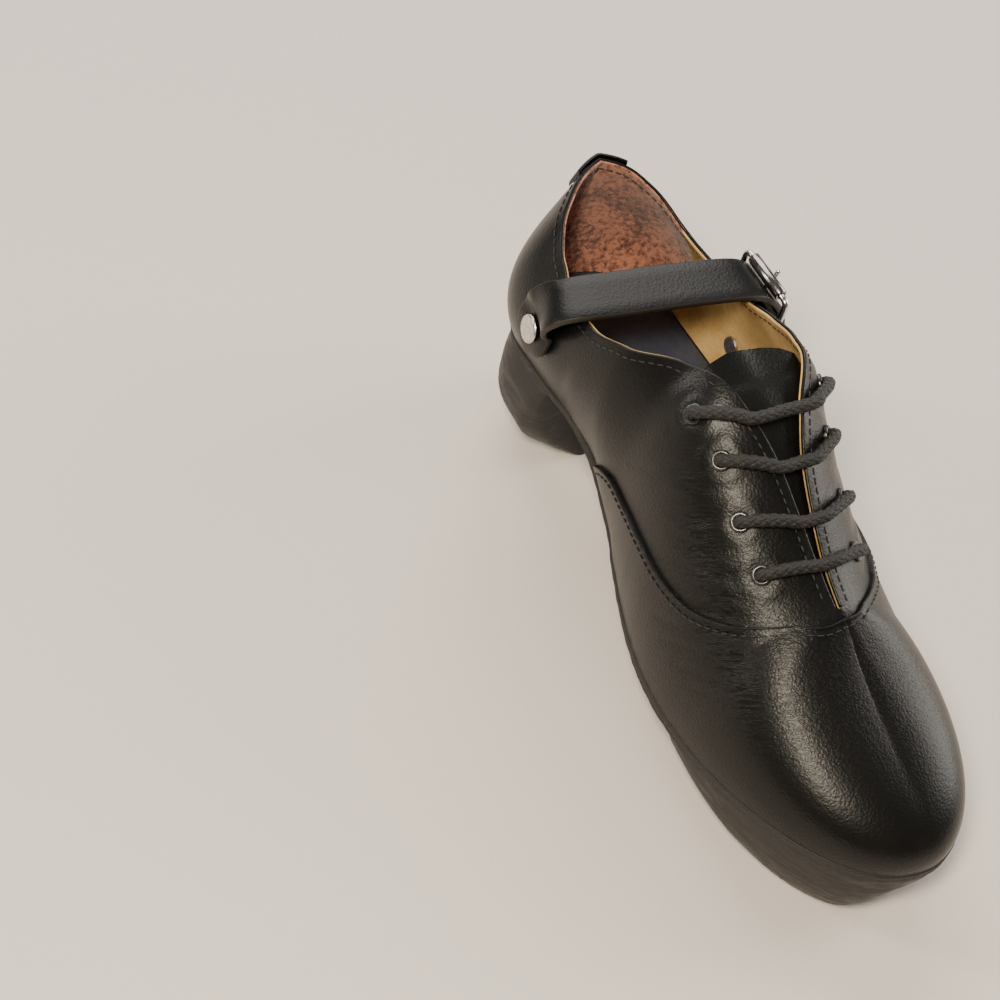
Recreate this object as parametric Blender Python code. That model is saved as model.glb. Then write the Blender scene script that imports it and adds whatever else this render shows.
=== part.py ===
"""Irish dance hard shoe, left foot. Metres, +X to the toe, +Y to the outer side, +Z up, floor at z = 0.

Every outline is measured from the rearmost point of the upper. The origin is the centre of the heel's
flat bottom, ORIGIN_X ahead of that point. Medial is the inner side of the foot, lateral the outer side.
"""
import math
from collections import namedtuple

import bmesh
import bpy
import numpy as np
from mathutils import Matrix, Vector

# Driving sizes
UPPER_LENGTH = 0.252
BALL_WIDTH = 0.084
SEAT_HEIGHT = 0.0465
BALL_HEIGHT = 0.0217
TOE_HEIGHT = 0.0358
COLLAR_RISE = 0.088
TOE_RISE = 0.052
ORIGIN_X = 0.029

WALL = 0.0020
VAMP_STEP = 0.0012
PIECE_GAP = 0.0003
CURVED_GAP = 0.0005

SOLE_THICKNESS = 0.0040
SHANK_THICKNESS = 0.0026
SOLE_MARGIN = 0.0006
INSOLE_THICKNESS = 0.0015
INSOLE_MARGIN = 0.0010
TONGUE_THICKNESS = 0.0018
TONGUE_HALF = 0.0215
TONGUE_SHIFT = 0.0010
TONGUE_DROP = 0.0017
TONGUE_TOP_STATION = 9
TONGUE_BLEND = 0.006

TIP_REAR = 0.171
TIP_REAR_UNDERCUT = 0.027
TIP_REAR_NARROWING = 0.22
TIP_BOTTOM_FRONT = 0.2405
TIP_BOTTOM_INSET = 0.0075
TIP_TOP_INSET = 0.0008
TIP_STEPS = 22

HEEL_BREAST = 0.050
HEEL_TOP_WIDTH = 0.060
HEEL_TOP_BACK = 0.0035
HEEL_BOTTOM_BACK = 0.0085
HEEL_CORNER_CUT = 0.0095
HEEL_BREAST_HOLLOW = 0.0035
HEEL_ROUND_SHARE = 0.62

EYELET_HOLE = 0.0036
EYELET_BARREL = 0.0044
EYELET_FLANGE = 0.0068
EYELET_THICKNESS = 0.0006
CORD_DIAMETER = 0.0046

STRAP_WIDTH = 0.0225
STRAP_THICKNESS = 0.0024
SHORT_THICKNESS = 0.0016
TAB_WIDTH = 0.0185
SHOULDER_START = 0.0133
SHOULDER_LENGTH = 0.0060
RIVET_HEAD = 0.0098
RIVET_HEAD_HEIGHT = 0.0012
RIVET_HEAD_GAP = 0.0006
RIVET_SHANK = 0.0034
RIVET_WASHER = 0.0070
RIVET_WASHER_HEIGHT = 0.0008
BUCKLE_SIDE_GAP = 0.0006
BUCKLE_WIRE = 0.0022
ROLLER_DIAMETER = 0.0044
ROLLER_LENGTH = 0.0184
ROLLER_GAP = 0.0003

BACK_TAB_WIDTH = 0.020
BACK_TAB_HEIGHT = 0.0085
BACK_TAB_THICKNESS = 0.0012

# One row is one pair of eyelets, from the ankle: x as a share of UPPER_LENGTH, how far below the facing's
# edge as a share of BALL_WIDTH, and how many sections ahead of the pair its lace meets in the gap.
EyeletPair = namedtuple("EyeletPair", "x inset crossing")
EYELET_PAIRS = (
    EyeletPair(0.448, 0.167, 0.95),
    EyeletPair(0.512, 0.185, 0.60),
    EyeletPair(0.580, 0.220, 0.50),
    EyeletPair(0.641, 0.214, 0.35),
)
RIVET_MEDIAL_X = 0.1798 * UPPER_LENGTH
RIVET_MEDIAL_Z = SEAT_HEIGHT + 0.3193 * COLLAR_RISE
BUCKLE_X = 0.2468 * UPPER_LENGTH
BUCKLE_TOP_Z = SEAT_HEIGHT + 0.4886 * COLLAR_RISE
HINGE_Z = SEAT_HEIGHT + 0.3409 * COLLAR_RISE
SHORT_RIVET_Z = SEAT_HEIGHT + 0.1420 * COLLAR_RISE
PRONG_DIAMETER = 0.0018
PRONG_START = 0.0060
PRONG_TIP = 0.0030
STRAP_SLANT = 0.45
STRAP_END_FLAT = 0.0012
STRAP_SPACING = 0.0022
FOLD_SPACING = 0.0009
# One row is one point of the long strap between the two quarters: x as a share of UPPER_LENGTH, y of
# BALL_WIDTH, and height over the seat of COLLAR_RISE.
StrapRow = namedtuple("StrapRow", "x y rise")
STRAP_OVER = (
    StrapRow(0.1837, -0.4667, 0.4205),
    StrapRow(0.1917, -0.4643, 0.4716),
    StrapRow(0.2004, -0.4464, 0.5114),
    StrapRow(0.2071, -0.4107, 0.5375),
    StrapRow(0.2135, -0.3452, 0.5511),
    StrapRow(0.2214, -0.2143, 0.5545),
    StrapRow(0.2302, 0.0000, 0.5523),
    StrapRow(0.2393, 0.2024, 0.5455),
    StrapRow(0.2448, 0.3274, 0.5318),
    StrapRow(0.2468, 0.3988, 0.5000),
)
# The strap's tail on the outer quarter: height over the seat as a share of COLLAR_RISE, and how far it
# stands off the quarter as a share of TAIL_STAND.
TAIL_STAND = 0.0072
STRAP_TAIL = ((0.403, 0.89), (0.352, 0.97), (0.301, 1.00), (0.244, 0.81), (0.199, 0.58))

# Where the lasted sections stand
FAN_X = 0.131 * UPPER_LENGTH
THROAT_X = 0.708 * UPPER_LENGTH
AXIS_SHIFT = -0.0020
SLIT_HALF = 0.0012
SHANK_START = 0.058
SHANK_END = 0.112
SPRING_START = 0.162
WING_STATION = 7

ROWS_BELOW_SEAM = 6
ROWS_ABOVE_SEAM = 5
STEPS_PER_SECTION = 3
ROUND_SIDES = 14
SEAM_STEP_LENGTH = 0.0007

# One row is one lasted section, a curve from the bottom edge up to the collar or facing edge. x is a share
# of UPPER_LENGTH, and turn is the section's direction from the toe in degrees. reach, bulge, top and lean
# are shares of BALL_WIDTH. rise is a share of COLLAR_RISE. full, drop and seam are shares of the section's
# own height: where the side is fullest, how far the top handle falls, and where the vamp's edge crosses.
Section = namedtuple("Section", "x turn reach bulge full top rise lean drop seam")
MEDIAL = (
    Section(0.131, 180, 0.370, 0.060, 0.42, 0.333, 0.660, 0.050, 0.32, 0.40),
    Section(0.131, 160, 0.375, 0.070, 0.42, 0.305, 0.642, 0.075, 0.32, 0.40),
    Section(0.131, 135, 0.385, 0.090, 0.42, 0.285, 0.602, 0.110, 0.32, 0.40),
    Section(0.131, 110, 0.385, 0.115, 0.42, 0.290, 0.555, 0.140, 0.32, 0.40),
    Section(0.131, 90, 0.375, 0.125, 0.42, 0.315, 0.515, 0.130, 0.32, 0.38),
    Section(0.198, 90, 0.362, 0.130, 0.42, 0.375, 0.500, 0.095, 0.32, 0.33),
    Section(0.262, 90, 0.335, 0.135, 0.43, 0.390, 0.560, 0.065, 0.32, 0.27),
    Section(0.325, 90, 0.298, 0.145, 0.45, 0.355, 0.735, 0.100, 0.30, 0.22),
    Section(0.389, 90, 0.308, 0.145, 0.46, 0.220, 0.920, 0.180, 0.22, 0.36),
    Section(0.437, 90, 0.350, 0.125, 0.49, 0.145, 1.000, 0.235, 0.10, 0.39),
    Section(0.484, 90, 0.400, 0.085, 0.50, 0.095, 0.955, 0.290, 0.05, 0.42),
    Section(0.548, 90, 0.456, 0.042, 0.52, 0.044, 0.852, 0.345, 0.02, 0.48),
    Section(0.611, 90, 0.488, 0.018, 0.53, 0.026, 0.745, 0.365, 0.01, 0.59),
    Section(0.667, 90, 0.496, 0.012, 0.54, 0.018, 0.655, 0.345, 0.02, 0.76),
    Section(0.708, 90, 0.496, 0.012, 0.55, SLIT_HALF / BALL_WIDTH, 0.585, 0.330, 0.05, 0.94),
)
LATERAL = (
    Section(0.131, 180, 0.370, 0.060, 0.42, 0.333, 0.660, 0.050, 0.32, 0.40),
    Section(0.131, 160, 0.370, 0.065, 0.42, 0.298, 0.640, 0.060, 0.32, 0.40),
    Section(0.131, 135, 0.365, 0.080, 0.42, 0.268, 0.592, 0.080, 0.32, 0.40),
    Section(0.131, 110, 0.360, 0.095, 0.42, 0.262, 0.535, 0.100, 0.32, 0.40),
    Section(0.131, 90, 0.358, 0.105, 0.42, 0.280, 0.490, 0.100, 0.32, 0.38),
    Section(0.198, 90, 0.366, 0.105, 0.42, 0.318, 0.470, 0.080, 0.32, 0.33),
    Section(0.262, 90, 0.376, 0.095, 0.43, 0.335, 0.515, 0.070, 0.32, 0.27),
    Section(0.325, 90, 0.386, 0.085, 0.45, 0.325, 0.690, 0.095, 0.30, 0.22),
    Section(0.389, 90, 0.396, 0.080, 0.46, 0.290, 0.890, 0.120, 0.22, 0.36),
    Section(0.437, 90, 0.412, 0.070, 0.48, 0.225, 0.990, 0.150, 0.14, 0.39),
    Section(0.484, 90, 0.428, 0.055, 0.50, 0.138, 0.955, 0.180, 0.10, 0.42),
    Section(0.548, 90, 0.446, 0.035, 0.52, 0.066, 0.852, 0.195, 0.07, 0.48),
    Section(0.611, 90, 0.456, 0.020, 0.53, 0.034, 0.745, 0.200, 0.06, 0.59),
    Section(0.667, 90, 0.448, 0.008, 0.54, 0.018, 0.655, 0.185, 0.06, 0.76),
    Section(0.708, 90, 0.442, 0.006, 0.55, SLIT_HALF / BALL_WIDTH, 0.585, 0.180, 0.07, 0.94),
)
# One row is one section of the toe box, fanned round the throat: around is its share of the quarter turn
# from the ball to the toe. The other columns are as above.
ToeSection = namedtuple("ToeSection", "around bulge full lean drop seam")
TOE_BOX = (
    ToeSection(0.00, 0.012, 0.55, 0.330, 0.05, 0.940),
    ToeSection(0.25, 0.018, 0.54, 0.330, 0.13, 0.952),
    ToeSection(0.50, 0.020, 0.54, 0.340, 0.29, 0.955),
    ToeSection(0.75, 0.020, 0.54, 0.362, 0.48, 0.958),
    ToeSection(1.00, 0.020, 0.54, 0.378, 0.61, 0.960),
)
TOE_ROUNDNESS = {"medial": 2.12, "lateral": 1.95}
LATERAL_TOE_LEAN = 0.60

BACK_SECTIONS = len(MEDIAL) - 1
TOE_SECTIONS = len(TOE_BOX) - 1
LAST_STATION = BACK_SECTIONS + TOE_SECTIONS


def fair(known, values, wanted):
    """A smooth curve through the known values that never overshoots them."""
    known = np.asarray(known, float)
    values = np.asarray(values, float)
    step = np.diff(known)
    slope = np.diff(values) / step
    before = 2 * step[1:] + step[:-1]
    after = step[1:] + 2 * step[:-1]
    same = slope[:-1] * slope[1:] > 0
    safe = np.where(same, slope[:-1], 1), np.where(same, slope[1:], 1)
    tangent = np.empty_like(values)
    tangent[0] = slope[0]
    tangent[-1] = slope[-1]
    tangent[1:-1] = np.where(same, (before + after) / (before / safe[0] + after / safe[1]), 0)
    at = np.clip(np.searchsorted(known, wanted, "right") - 1, 0, len(step) - 1)
    t = (wanted - known[at]) / step[at]
    return (
        (2 * t**3 - 3 * t**2 + 1) * values[at]
        + (t**3 - 2 * t**2 + t) * step[at] * tangent[at]
        + (3 * t**2 - 2 * t**3) * values[at + 1]
        + (t**3 - t**2) * step[at] * tangent[at + 1]
    )


def eased(x, start, end):
    """0 before start, 1 after end, with a level start and finish."""
    share = np.clip((np.asarray(x, float) - start) / (end - start), 0, 1)
    return share**2 * (3 - 2 * share)


def bottom_height(x):
    """Height of the upper's bottom edge: level under the heel, down the shank, flat, then toe spring."""
    x = np.asarray(x, float)
    fall = eased(x, SHANK_START, SHANK_END)
    up = np.clip((x - SPRING_START) / (UPPER_LENGTH - SPRING_START), 0, 1)
    spring = np.sin(up * math.pi / 2) ** 1.5
    return SEAT_HEIGHT + (BALL_HEIGHT - SEAT_HEIGHT) * fall + (TOE_HEIGHT - BALL_HEIGHT) * spring


def sole_thickness(x):
    """The sole thins behind the ball."""
    return SHANK_THICKNESS + (SOLE_THICKNESS - SHANK_THICKNESS) * eased(x, SHANK_END, SPRING_START)


def axis_y(x):
    """The lacing line leans a little to the medial side towards the throat."""
    return AXIS_SHIFT * np.clip((x - FAN_X) / (THROAT_X - FAN_X), 0, 1)


def section(station, side):
    """The section's values in metres at any station, also between two rows of the tables."""
    station = np.asarray(station, float)
    table = MEDIAL if side == "medial" else LATERAL
    back = np.clip(station, 0, BACK_SECTIONS)
    around = np.clip((station - BACK_SECTIONS) / TOE_SECTIONS, 0, 1)
    in_toe = station > BACK_SECTIONS
    value = {}
    for name in Section._fields:
        column = [getattr(row, name) for row in table]
        if name in ("x", "turn"):
            value[name] = np.interp(back, range(len(table)), column)
        else:
            value[name] = fair(range(len(table)), column, back)
    for name in ToeSection._fields[1:]:
        column = fair([row.around for row in TOE_BOX], [getattr(row, name) for row in TOE_BOX], around)
        if name == "lean" and side == "lateral":
            column = column * (LATERAL_TOE_LEAN + (1 - LATERAL_TOE_LEAN) * around**2)
        value[name] = np.where(in_toe, column, value[name])
    turn = np.radians(np.where(in_toe, 90 * (1 - around), value["turn"]))
    toe_length = UPPER_LENGTH - THROAT_X - VAMP_STEP
    power = TOE_ROUNDNESS[side]
    half = table[-1].reach * BALL_WIDTH
    toe_reach = (
        np.abs(np.cos(turn) / toe_length) ** power + np.abs(np.sin(turn) / half) ** power
    ) ** (-1 / power)
    reach = np.where(in_toe, toe_reach, value["reach"] * BALL_WIDTH)
    axis = value["x"] * UPPER_LENGTH
    bottom = bottom_height(axis + reach * np.cos(turn))
    throat_z = bottom_height(THROAT_X) + TOE_RISE
    top_z = bottom_height(axis) + value["rise"] * COLLAR_RISE
    last = bottom_height(THROAT_X) + table[-1].rise * COLLAR_RISE
    near_throat = np.clip((station - WING_STATION) / (BACK_SECTIONS - WING_STATION), 0, 1)
    top_z = top_z + near_throat * (throat_z - last)
    return dict(
        axis=axis,
        turn=turn,
        reach=reach,
        bottom=bottom,
        bulge=value["bulge"] * BALL_WIDTH,
        full=value["full"],
        top=value["top"] * BALL_WIDTH,
        top_z=top_z,
        lean=value["lean"] * BALL_WIDTH,
        drop=value["drop"],
        seam=value["seam"],
    )


def last_surface(station, up, side):
    """A point of the lasted form: up is 0 at the bottom edge and 1 at the collar or facing edge."""
    s = section(station, side)
    up = np.asarray(up, float)
    height = s["top_z"] - s["bottom"]
    outs = (s["reach"], s["reach"] + s["bulge"], s["top"] + s["lean"], s["top"])
    ups = (
        s["bottom"],
        s["bottom"] + s["full"] * height,
        s["top_z"] - s["drop"] * height,
        s["top_z"],
    )
    weights = ((1 - up) ** 3, 3 * (1 - up) ** 2 * up, 3 * (1 - up) * up**2, up**3)
    out = sum(w * o for w, o in zip(weights, outs))
    z = sum(w * h for w, h in zip(weights, ups))
    sign = -1 if side == "medial" else 1
    x = s["axis"] + out * np.cos(s["turn"])
    y = axis_y(s["axis"]) + sign * out * np.sin(s["turn"])
    return np.stack(np.broadcast_arrays(x, y, z), -1)


def surface_normal(station, up, side):
    """Outward unit normal of the lasted form."""
    nudge = 1e-3
    along = last_surface(station + nudge, up, side) - last_surface(station - nudge, up, side)
    low = np.clip(np.asarray(up) - nudge, 0, 1)
    high = np.clip(np.asarray(up) + nudge, 0, 1)
    upward = last_surface(station, high, side) - last_surface(station, low, side)
    normal = np.cross(along, upward) if side == "medial" else np.cross(upward, along)
    return normal / np.maximum(np.linalg.norm(normal, axis=-1, keepdims=True), 1e-12)


def share_at_height(station, z, side):
    """How far up a section a given height lies."""
    ups = np.linspace(0, 1, 201)
    heights = last_surface(station, ups, side)[:, 2]
    return float(np.interp(z, heights, ups))


def station_at(x, z, side):
    """The station, and the share up it, whose surface point has this x and this height."""
    low, high = 4.0, float(BACK_SECTIONS)
    for _ in range(40):
        middle = (low + high) / 2
        found = last_surface(middle, share_at_height(middle, z, side), side)[0]
        low, high = (middle, high) if found < x else (low, middle)
    return low, share_at_height(low, z, side)


def seam_share(station, side):
    """How far up a section the vamp's edge crosses it, and the share that its step takes."""
    s = section(station, side)
    height = float(s["top_z"] - s["bottom"])
    share = share_at_height(station, float(s["bottom"]) + float(s["seam"]) * height, side)
    line = last_surface(station, np.linspace(0, 1, 41), side)
    length = float(np.linalg.norm(np.diff(line, axis=0), axis=1).sum())
    return share, SEAM_STEP_LENGTH / length


def material(name, colour, roughness, metallic=0.0):
    made = bpy.data.materials.new(name)
    made.use_nodes = True
    shader = made.node_tree.nodes["Principled BSDF"]
    shader.inputs["Base Color"].default_value = (*colour, 1)
    shader.inputs["Roughness"].default_value = roughness
    shader.inputs["Metallic"].default_value = metallic
    return made


def mesh_object(name, points, faces, finish, smooth=True):
    """A closed mesh, given in metres from the back of the upper, as one named object."""
    mesh = bpy.data.meshes.new(name)
    placed = np.asarray(points, float) - (ORIGIN_X, 0, 0)
    mesh.from_pydata([tuple(p) for p in placed], [], [tuple(int(i) for i in f) for f in faces])
    body = bmesh.new()
    body.from_mesh(mesh)
    bmesh.ops.remove_doubles(body, verts=body.verts, dist=1e-6)
    bmesh.ops.triangulate(body, faces=body.faces)
    bmesh.ops.recalc_face_normals(body, faces=body.faces)
    if body.calc_volume(signed=True) < 0:
        bmesh.ops.reverse_faces(body, faces=body.faces)
    body.to_mesh(mesh)
    body.free()
    if smooth:
        mesh.shade_smooth()
        mesh.set_sharp_from_angle(angle=math.radians(35))
    made = bpy.data.objects.new(name, mesh)
    bpy.context.scene.collection.objects.link(made)
    if finish:
        mesh.materials.append(finish)
    return made


def boolean(target, other, operation="DIFFERENCE"):
    modifier = target.modifiers.new(other.name, "BOOLEAN")
    modifier.operation = operation
    modifier.solver = "EXACT"
    modifier.object = other


def ring_loft(rings, close_ends=True):
    """Points and faces of a body whose cross-sections are rings with the same count of points."""
    rings = [np.asarray(ring, float) for ring in rings]
    count = len(rings[0])
    faces = []
    for level in range(len(rings) - 1):
        for i in range(count):
            j = (i + 1) % count
            a, b = level * count, (level + 1) * count
            faces.append((a + i, a + j, b + j, b + i))
    if close_ends:
        faces.append(tuple(range(count))[::-1])
        faces.append(tuple((len(rings) - 1) * count + i for i in range(count)))
    return np.concatenate(rings), faces


def ladder_faces(first, count):
    """Faces across a closed outline that runs up the medial side and back down the lateral side."""
    faces = []
    for i in range(count // 2 - 1):
        faces.append((first + i, first + i + 1, first + count - 2 - i, first + count - 1 - i))
    return faces


def outline(stations, inset):
    """The bottom edge of the upper in plan, medial side forward and lateral side back, moved inwards."""
    medial = last_surface(stations, 0.0, "medial")[:, :2]
    lateral = last_surface(stations, 0.0, "lateral")[:, :2][::-1]
    loop = np.concatenate([medial, lateral])
    ahead = np.roll(loop, -1, axis=0)
    behind = np.roll(loop, 1, axis=0)
    if stations[0] > 0:
        behind[0] = loop[0]
        ahead[-1] = loop[-1]
    count = len(stations)
    ahead[count - 1] = loop[count + 1]
    behind[count] = loop[count - 2]
    if stations[0] == 0:
        ahead[-1] = loop[1]
        behind[0] = loop[-2]
    along = ahead - behind
    along /= np.linalg.norm(along, axis=1, keepdims=True)
    inwards = np.stack([-along[:, 1], along[:, 0]], 1)
    return loop + np.reshape(inset, (-1, 1)) * inwards


def sole_inset(stations):
    """The sole stands a little proud of the quarters, and of the vamp's extra thickness ahead of them."""
    over_vamp = np.clip(stations - WING_STATION + 1, 0, 1)
    side = SOLE_MARGIN + VAMP_STEP * over_vamp
    return -np.concatenate([side, side[::-1]])


def along_stations(first, last, steps):
    return np.linspace(first, last, int(round((last - first) * steps)) + 1)


def build_upper(finish):
    """The hollow upper: an outer skin with the vamp's step in it, an inner skin, and the edges between."""
    section_gap = (MEDIAL[WING_STATION + 1].x - MEDIAL[WING_STATION].x) * UPPER_LENGTH
    step_share = SEAM_STEP_LENGTH / section_gap
    stations = list(along_stations(0, LAST_STATION, STEPS_PER_SECTION))
    stations.append(WING_STATION - step_share)
    stations = np.array(sorted(stations))
    sides = []
    for side in ("medial", "lateral"):
        ups = []
        for station in stations:
            share, edge = seam_share(station, side)
            below = np.linspace(0, share, ROWS_BELOW_SEAM + 1)
            above = np.linspace(min(share + edge, 0.995), 1, ROWS_ABOVE_SEAM + 1)
            ups.append(np.concatenate([below, above]))
        ups = np.array(ups)
        grid = last_surface(stations[:, None], ups, side)
        normal = surface_normal(stations[:, None], ups, side)
        on_vamp = (stations >= WING_STATION)[:, None] & (np.arange(ups.shape[1]) <= ROWS_BELOW_SEAM)
        outer = grid + normal * np.where(on_vamp, VAMP_STEP, 0.0)[:, :, None]
        inner = grid - normal * WALL
        outer[:, 0, 2] = grid[:, 0, 2]
        inner[:, 0, 2] = grid[:, 0, 2]
        for skin in (outer, inner):
            skin[0, :, 1] = 0
            skin[-1, :, 1] = axis_y(THROAT_X)
        sides.append((outer, inner))
    (outer_m, inner_m), (outer_l, inner_l) = sides
    outer = np.concatenate([outer_m, outer_l[-2:0:-1]])
    inner = np.concatenate([inner_m, inner_l[-2:0:-1]])
    count, rows = outer.shape[:2]
    points = np.concatenate([outer.reshape(-1, 3), inner.reshape(-1, 3)])
    faces = []
    for i in range(count):
        j = (i + 1) % count
        for row in range(rows - 1):
            a, b, c, d = (i * rows + row, j * rows + row, j * rows + row + 1, i * rows + row + 1)
            faces.append((a, b, c, d))
            faces.append(tuple(v + count * rows for v in (d, c, b, a)))
        for row in (0, rows - 1):
            a, b = i * rows + row, j * rows + row
            faces.append((a, b, b + count * rows, a + count * rows))
    return mesh_object("upper", points, faces, finish)


def build_sole(finish):
    """The outsole, which follows the bottom edge of the upper and thins behind the ball."""
    stations = along_stations(0, LAST_STATION, 3)
    loop = outline(stations, sole_inset(stations))
    top = bottom_height(loop[:, 0]) - PIECE_GAP
    return plate("sole", loop, top - sole_thickness(loop[:, 0]), top, finish)


def build_insole(finish):
    """The insole, just inside the wall of the upper."""
    loop = outline(along_stations(0, LAST_STATION, 3), WALL + INSOLE_MARGIN)
    low = bottom_height(loop[:, 0]) + PIECE_GAP
    return plate("insole", loop, low, low + INSOLE_THICKNESS, finish)


def plate(name, loop, low, high, finish):
    """A layer between two heights over one outline."""
    rings = [np.column_stack([loop, low]), np.column_stack([loop, high])]
    points, faces = ring_loft(rings, close_ends=False)
    faces += ladder_faces(0, len(loop)) + ladder_faces(len(loop), len(loop))
    return mesh_object(name, points, faces, finish)


def station_of_x(x):
    """The station whose section stands at this distance from the back, between the wing and the throat."""
    return float(np.interp(x, [row.x * UPPER_LENGTH for row in MEDIAL[WING_STATION:]],
                           np.arange(WING_STATION, BACK_SECTIONS + 1)))


# One row is one level of the tip: height as a share of the block, bevel as a share of TIP_BOTTOM_INSET,
# undercut as a share of TIP_REAR_UNDERCUT, cut as a share of the straight front cut.
TipLevel = namedtuple("TipLevel", "height bevel undercut cut")
TIP_LEVELS = (
    TipLevel(0.00, 1.00, 1.00, 1.00),
    TipLevel(0.12, 0.72, 0.72, 0.86),
    TipLevel(0.32, 0.30, 0.44, 0.60),
    TipLevel(0.55, 0.06, 0.22, 0.30),
    TipLevel(0.80, 0.00, 0.07, 0.05),
    TipLevel(1.00, 0.00, 0.00, 0.00),
)


def build_tip(finish):
    """The hard block under the forefoot: a level bottom, cut straight across the front, bevelled sides."""
    steps = TIP_STEPS
    rings = []
    for level in TIP_LEVELS:
        rear = TIP_REAR + TIP_REAR_UNDERCUT * level.undercut
        stations = np.linspace(station_of_x(rear), LAST_STATION, steps)
        bevel = TIP_TOP_INSET + (TIP_BOTTOM_INSET - TIP_TOP_INSET) * level.bevel
        loop = outline(stations, bevel - VAMP_STEP)
        front = UPPER_LENGTH - TIP_TOP_INSET
        front += (TIP_BOTTOM_FRONT - front) * level.cut
        behind = np.clip((loop[:, 0] - rear) / TIP_REAR_UNDERCUT, 0, 1)
        loop[:, 1] *= 1 - TIP_REAR_NARROWING * level.undercut * (1 - behind) ** 2
        loop[:, 0] = np.minimum(loop[:, 0], front)
        top = bottom_height(loop[:, 0]) - PIECE_GAP - sole_thickness(loop[:, 0]) - PIECE_GAP
        rings.append(np.column_stack([loop, top * level.height]))
    points, faces = ring_loft(rings, close_ends=False)
    faces += ladder_faces(0, 2 * steps) + ladder_faces((len(rings) - 1) * 2 * steps, 2 * steps)
    return mesh_object("tip", points, faces, finish)


# One row is one level of the heel: height as a share of the block, half width as a share of its top half
# width, back as a share of the way from the top's back to the bottom's, corner as a share of the cut.
HeelLevel = namedtuple("HeelLevel", "height half back corner hollow")
HEEL_LEVELS = (
    HeelLevel(0.00, 0.58, 1.00, 1.00, 0.30),
    HeelLevel(0.14, 0.80, 0.72, 0.95, 0.62),
    HeelLevel(0.34, 1.05, 0.45, 0.80, 0.95),
    HeelLevel(0.56, 1.17, 0.22, 0.60, 1.00),
    HeelLevel(0.78, 1.15, 0.08, 0.35, 0.70),
    HeelLevel(1.00, 1.03, 0.00, 0.12, 0.20),
)


def build_heel(finish):
    """The heel block: sides that swell and then draw in to the bottom, a hollowed breast, cut corners."""
    block = SEAT_HEIGHT - PIECE_GAP - SHANK_THICKNESS - PIECE_GAP
    rings = []
    for level in HEEL_LEVELS:
        half = level.half * HEEL_TOP_WIDTH / 2
        back = HEEL_TOP_BACK + level.back * (HEEL_BOTTOM_BACK - HEEL_TOP_BACK)
        cut = level.corner * HEEL_CORNER_CUT
        round_x = back + min(half, (HEEL_BREAST - back) * HEEL_ROUND_SHARE)
        side = []
        for share in (0.0, 0.5, 1.0):
            hollow = HEEL_BREAST_HOLLOW * level.hollow * (1 - share**2)
            side.append((HEEL_BREAST - hollow, share * (half - cut)))
        side.append((HEEL_BREAST - cut, half))
        side.append(((HEEL_BREAST - cut + round_x) / 2, half))
        for angle in np.radians(np.linspace(90, 180, 9)):
            side.append((round_x + (round_x - back) * math.cos(angle), half * math.sin(angle)))
        medial = [(x, -y) for x, y in side]
        loop = medial + [(x, y) for x, y in side[-2:0:-1]]
        rings.append([(x, y, level.height * block) for x, y in loop])
    points, faces = ring_loft(rings)
    return mesh_object("heel", points, faces, finish)


# One row is one place along the tongue: x as a share of UPPER_LENGTH, half width as a share of TONGUE_HALF.
TongueRow = namedtuple("TongueRow", "x half")
TONGUE = (
    TongueRow(0.716, 0.45),
    TongueRow(0.667, 0.62),
    TongueRow(0.611, 0.78),
    TongueRow(0.548, 0.92),
    TongueRow(0.484, 1.00),
    TongueRow(0.455, 1.00),
    TongueRow(0.432, 0.97),
    TongueRow(0.415, 0.86),
    TongueRow(0.402, 0.62),
    TongueRow(0.396, 0.30),
)


def facing_height(x, y):
    """Height of the outer face of the facings, bridged level across the lacing gap."""
    first, last = MEDIAL[TONGUE_TOP_STATION], MEDIAL[BACK_SECTIONS]
    held = np.clip(x, first.x * UPPER_LENGTH, last.x * UPPER_LENGTH)
    station = station_of_x(held)
    heights = []
    for side in ("medial", "lateral"):
        line = last_surface(station, np.linspace(0.55, 1, 60), side)
        outs = np.abs(line[:, 1] - axis_y(held))
        z = float(np.interp(abs(y - axis_y(x)), outs[::-1], line[::-1, 2]))
        behind = last_surface(TONGUE_TOP_STATION, 1.0, side)
        ahead = last_surface(TONGUE_TOP_STATION + 1, 1.0, side)
        slope = (ahead[2] - behind[2]) / (ahead[0] - behind[0])
        heights.append(z + slope * (x - held))
    share = float(eased(y, -TONGUE_BLEND, TONGUE_BLEND))
    return heights[0] * (1 - share) + heights[1] * share


def build_tongue(finish):
    """A leather tongue under the facings, with a rounded top that stands above the lacing."""
    across = np.linspace(-1, 1, 11)
    rings = []
    for row in TONGUE:
        x = row.x * UPPER_LENGTH
        half = row.half * TONGUE_HALF
        low = []
        for share in across:
            y = axis_y(x) + TONGUE_SHIFT + share * half
            under = WALL + TONGUE_DROP * (1 + abs(y) / TONGUE_HALF)
            low.append((x, y, facing_height(x, y) - under - TONGUE_THICKNESS))
        high = [(x, y, z + TONGUE_THICKNESS) for x, y, z in low]
        rings.append(low + high[::-1])
    points, faces = ring_loft(rings)
    return mesh_object("tongue", points, faces, finish)


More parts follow.
